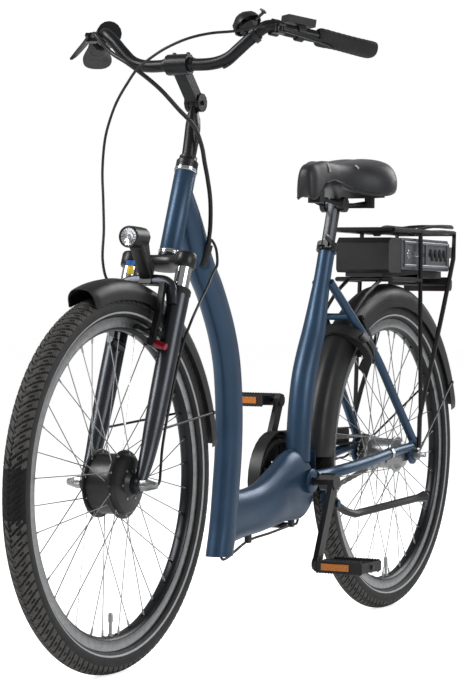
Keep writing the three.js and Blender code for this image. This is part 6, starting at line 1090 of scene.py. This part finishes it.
put("headlight_neck", neck, GUARD, "lowers")
put("headlight_bezel", lathe(BEZEL, 48, lamp_face, AHEAD), GUARD, "lowers")
collar, plug = (lathe(profile, 20, PLUG_FOOT, ABOVE, closed=False) for profile in (COLLAR, PLUG))
put("headlight_collar", collar, BLUE_PLASTIC, "lowers")
put("headlight_plug", plug, YELLOW_PLASTIC, "lowers")
rear_lens = slab(REAR_LENS, -REAR_LENS_HALF, REAR_LENS_HALF)
put("rear_light_lens", rear_lens, RED_LENS, "frame", bevel=2.0)


# Battery

BATTERY_SIDE, BATTERY_PROUD = 61.0, 1.02
BATTERY_LOW, BATTERY_HIGH = 724.5, 773.0
BATTERY_BACK, BATTERY_FRONT, BATTERY_BAND = -184, 44, -66
SLOT_START, SLOT_PITCH, SLOT_COUNT = -168, 24, 4
SLOT_LOW, SLOT_HIGH, SLOT_LEAN = 738, 760, 6
KEY_LOCK = [(0, 58), (8.5, 58), (9, 60), (9, 64.5), (8, 65.4), (3, 65.4), (2.6, 64), (0, 64)]

trim, slots = [], []
for y in (-BATTERY_SIDE, BATTERY_SIDE):
    out = y * BATTERY_PROUD
    for z in (BATTERY_LOW, BATTERY_HIGH):
        ends = (BATTERY_BACK - 4, y, z), (BATTERY_FRONT + 6, y, z)
        trim.append(tube([ends[0], (BATTERY_BACK, out, z), (BATTERY_FRONT, out, z), ends[1]], 3.6, 14, 30))
    for x in (BATTERY_BACK, BATTERY_BAND, BATTERY_FRONT):
        trim.append(tube([(x, out, BATTERY_LOW), (x, out, BATTERY_HIGH)], 3.4, 12))
    for i in range(SLOT_COUNT):
        x, face = SLOT_START + i * SLOT_PITCH, y * 1.003
        slots.append(tube([(x - SLOT_LEAN, face, SLOT_LOW), (x + SLOT_LEAN, face, SLOT_HIGH)], 4.2, 10))
put("battery_trim", gather(*trim), BATTERY, "battery")
put("battery_slots", gather(*slots), PLASTIC, "battery")
key_lock = lathe(KEY_LOCK, 28, at(30, 0, 748), closed=False)
put("battery_lock", key_lock, STEEL, "battery")


# Floor, light and camera

FLOOR_HALF = 40.0
FLOOR_GREY, FLOOR_ROUGHNESS, FLOOR_GLOW = 0.9, 0.9, (0.12, 0.72)
SKY_STRENGTH = (0.3, 1.0)


def seen_directly(tree, strengths, socket):
    """Gives a strength one value for the light and another for what the camera sees."""
    rays = tree.nodes.new("ShaderNodeLightPath")
    span = tree.nodes.new("ShaderNodeMapRange")
    span.inputs["To Min"].default_value = strengths[0]
    span.inputs["To Max"].default_value = strengths[1]
    tree.links.new(rays.outputs["Is Camera Ray"], span.inputs["Value"])
    tree.links.new(span.outputs["Result"], socket)


floor_look = bpy.data.materials.new("studio_floor")
floor_look.use_nodes = True
floor_bsdf = floor_look.node_tree.nodes["Principled BSDF"]
floor_bsdf.inputs["Base Color"].default_value = (FLOOR_GREY, FLOOR_GREY, FLOOR_GREY, 1)
floor_bsdf.inputs["Roughness"].default_value = FLOOR_ROUGHNESS
floor_bsdf.inputs["Emission Color"].default_value = (1, 1, 1, 1)
seen_directly(floor_look.node_tree, FLOOR_GLOW, floor_bsdf.inputs["Emission Strength"])
floor_mesh = bpy.data.meshes.new("floor")
floor_corners = [(x * FLOOR_HALF, y * FLOOR_HALF, 0) for x, y in ((-1, -1), (1, -1), (1, 1), (-1, 1))]
floor_mesh.from_pydata(floor_corners, [], [(0, 1, 2, 3)])
floor_mesh.materials.append(floor_look)
floor = link("floor", floor_mesh)

world = bpy.data.worlds.new("studio")
bpy.context.scene.world = world
world.use_nodes = True
sky = world.node_tree.nodes["Background"]
sky.inputs["Color"].default_value = (1, 1, 1, 1)
seen_directly(world.node_tree, SKY_STRENGTH, sky.inputs["Strength"])

# Place, aim, size and power of each lamp, in metres and watts
LAMPS = (
    ("key", (2.6, -2.6, 3.2), (0, 0, 0.5), (1.6, 2.2), 165),
    ("fill", (1.2, 4.4, 2.4), (0, 0, 0.5), (2.6, 1.6), 85),
    ("back", (-3.5, 1.5, 2.6), (0, 0, 0.6), (2.0, 2.0), 90),
)
for name, place, aim, size, power in LAMPS:
    light = bpy.data.lights.new(name, "AREA")
    light.shape = "RECTANGLE"
    light.size, light.size_y = size
    light.energy = power
    holder = link(name, light)
    holder.location = place
    holder.rotation_mode = "QUATERNION"
    holder.rotation_quaternion = (Vector(aim) - Vector(place)).to_track_quat("-Z", "Y")

EYE = Vector((4.223813, 2.1389, 0.62442))
AZIMUTH, PITCH, ROLL = 0.4814, 0.0115, 0.0116
# Focal length and picture height in pixels, and the sensor's size in millimetres
FOCAL, PICTURE, SENSOR = 2465.4, 679, 36
look = Vector((-cos(AZIMUTH) * cos(PITCH), -sin(AZIMUTH) * cos(PITCH), -sin(PITCH)))
right = Vector((-sin(AZIMUTH), cos(AZIMUTH), 0))
over = right.cross(look)
turned_right = cos(ROLL) * right + sin(ROLL) * over
turned_over = -sin(ROLL) * right + cos(ROLL) * over
camera_data = bpy.data.cameras.new("camera")
camera_data.sensor_width = SENSOR
camera_data.lens = FOCAL * SENSOR / PICTURE
camera_data.clip_start, camera_data.clip_end = 0.1, 100
camera = link("camera", camera_data)
camera.matrix_world = Matrix((
    (turned_right.x, turned_over.x, -look.x, EYE.x),
    (turned_right.y, turned_over.y, -look.y, EYE.y),
    (turned_right.z, turned_over.z, -look.z, EYE.z),
    (0, 0, 0, 1),
))
bpy.context.scene.camera = camera
bpy.context.scene.view_settings.view_transform = "Standard"
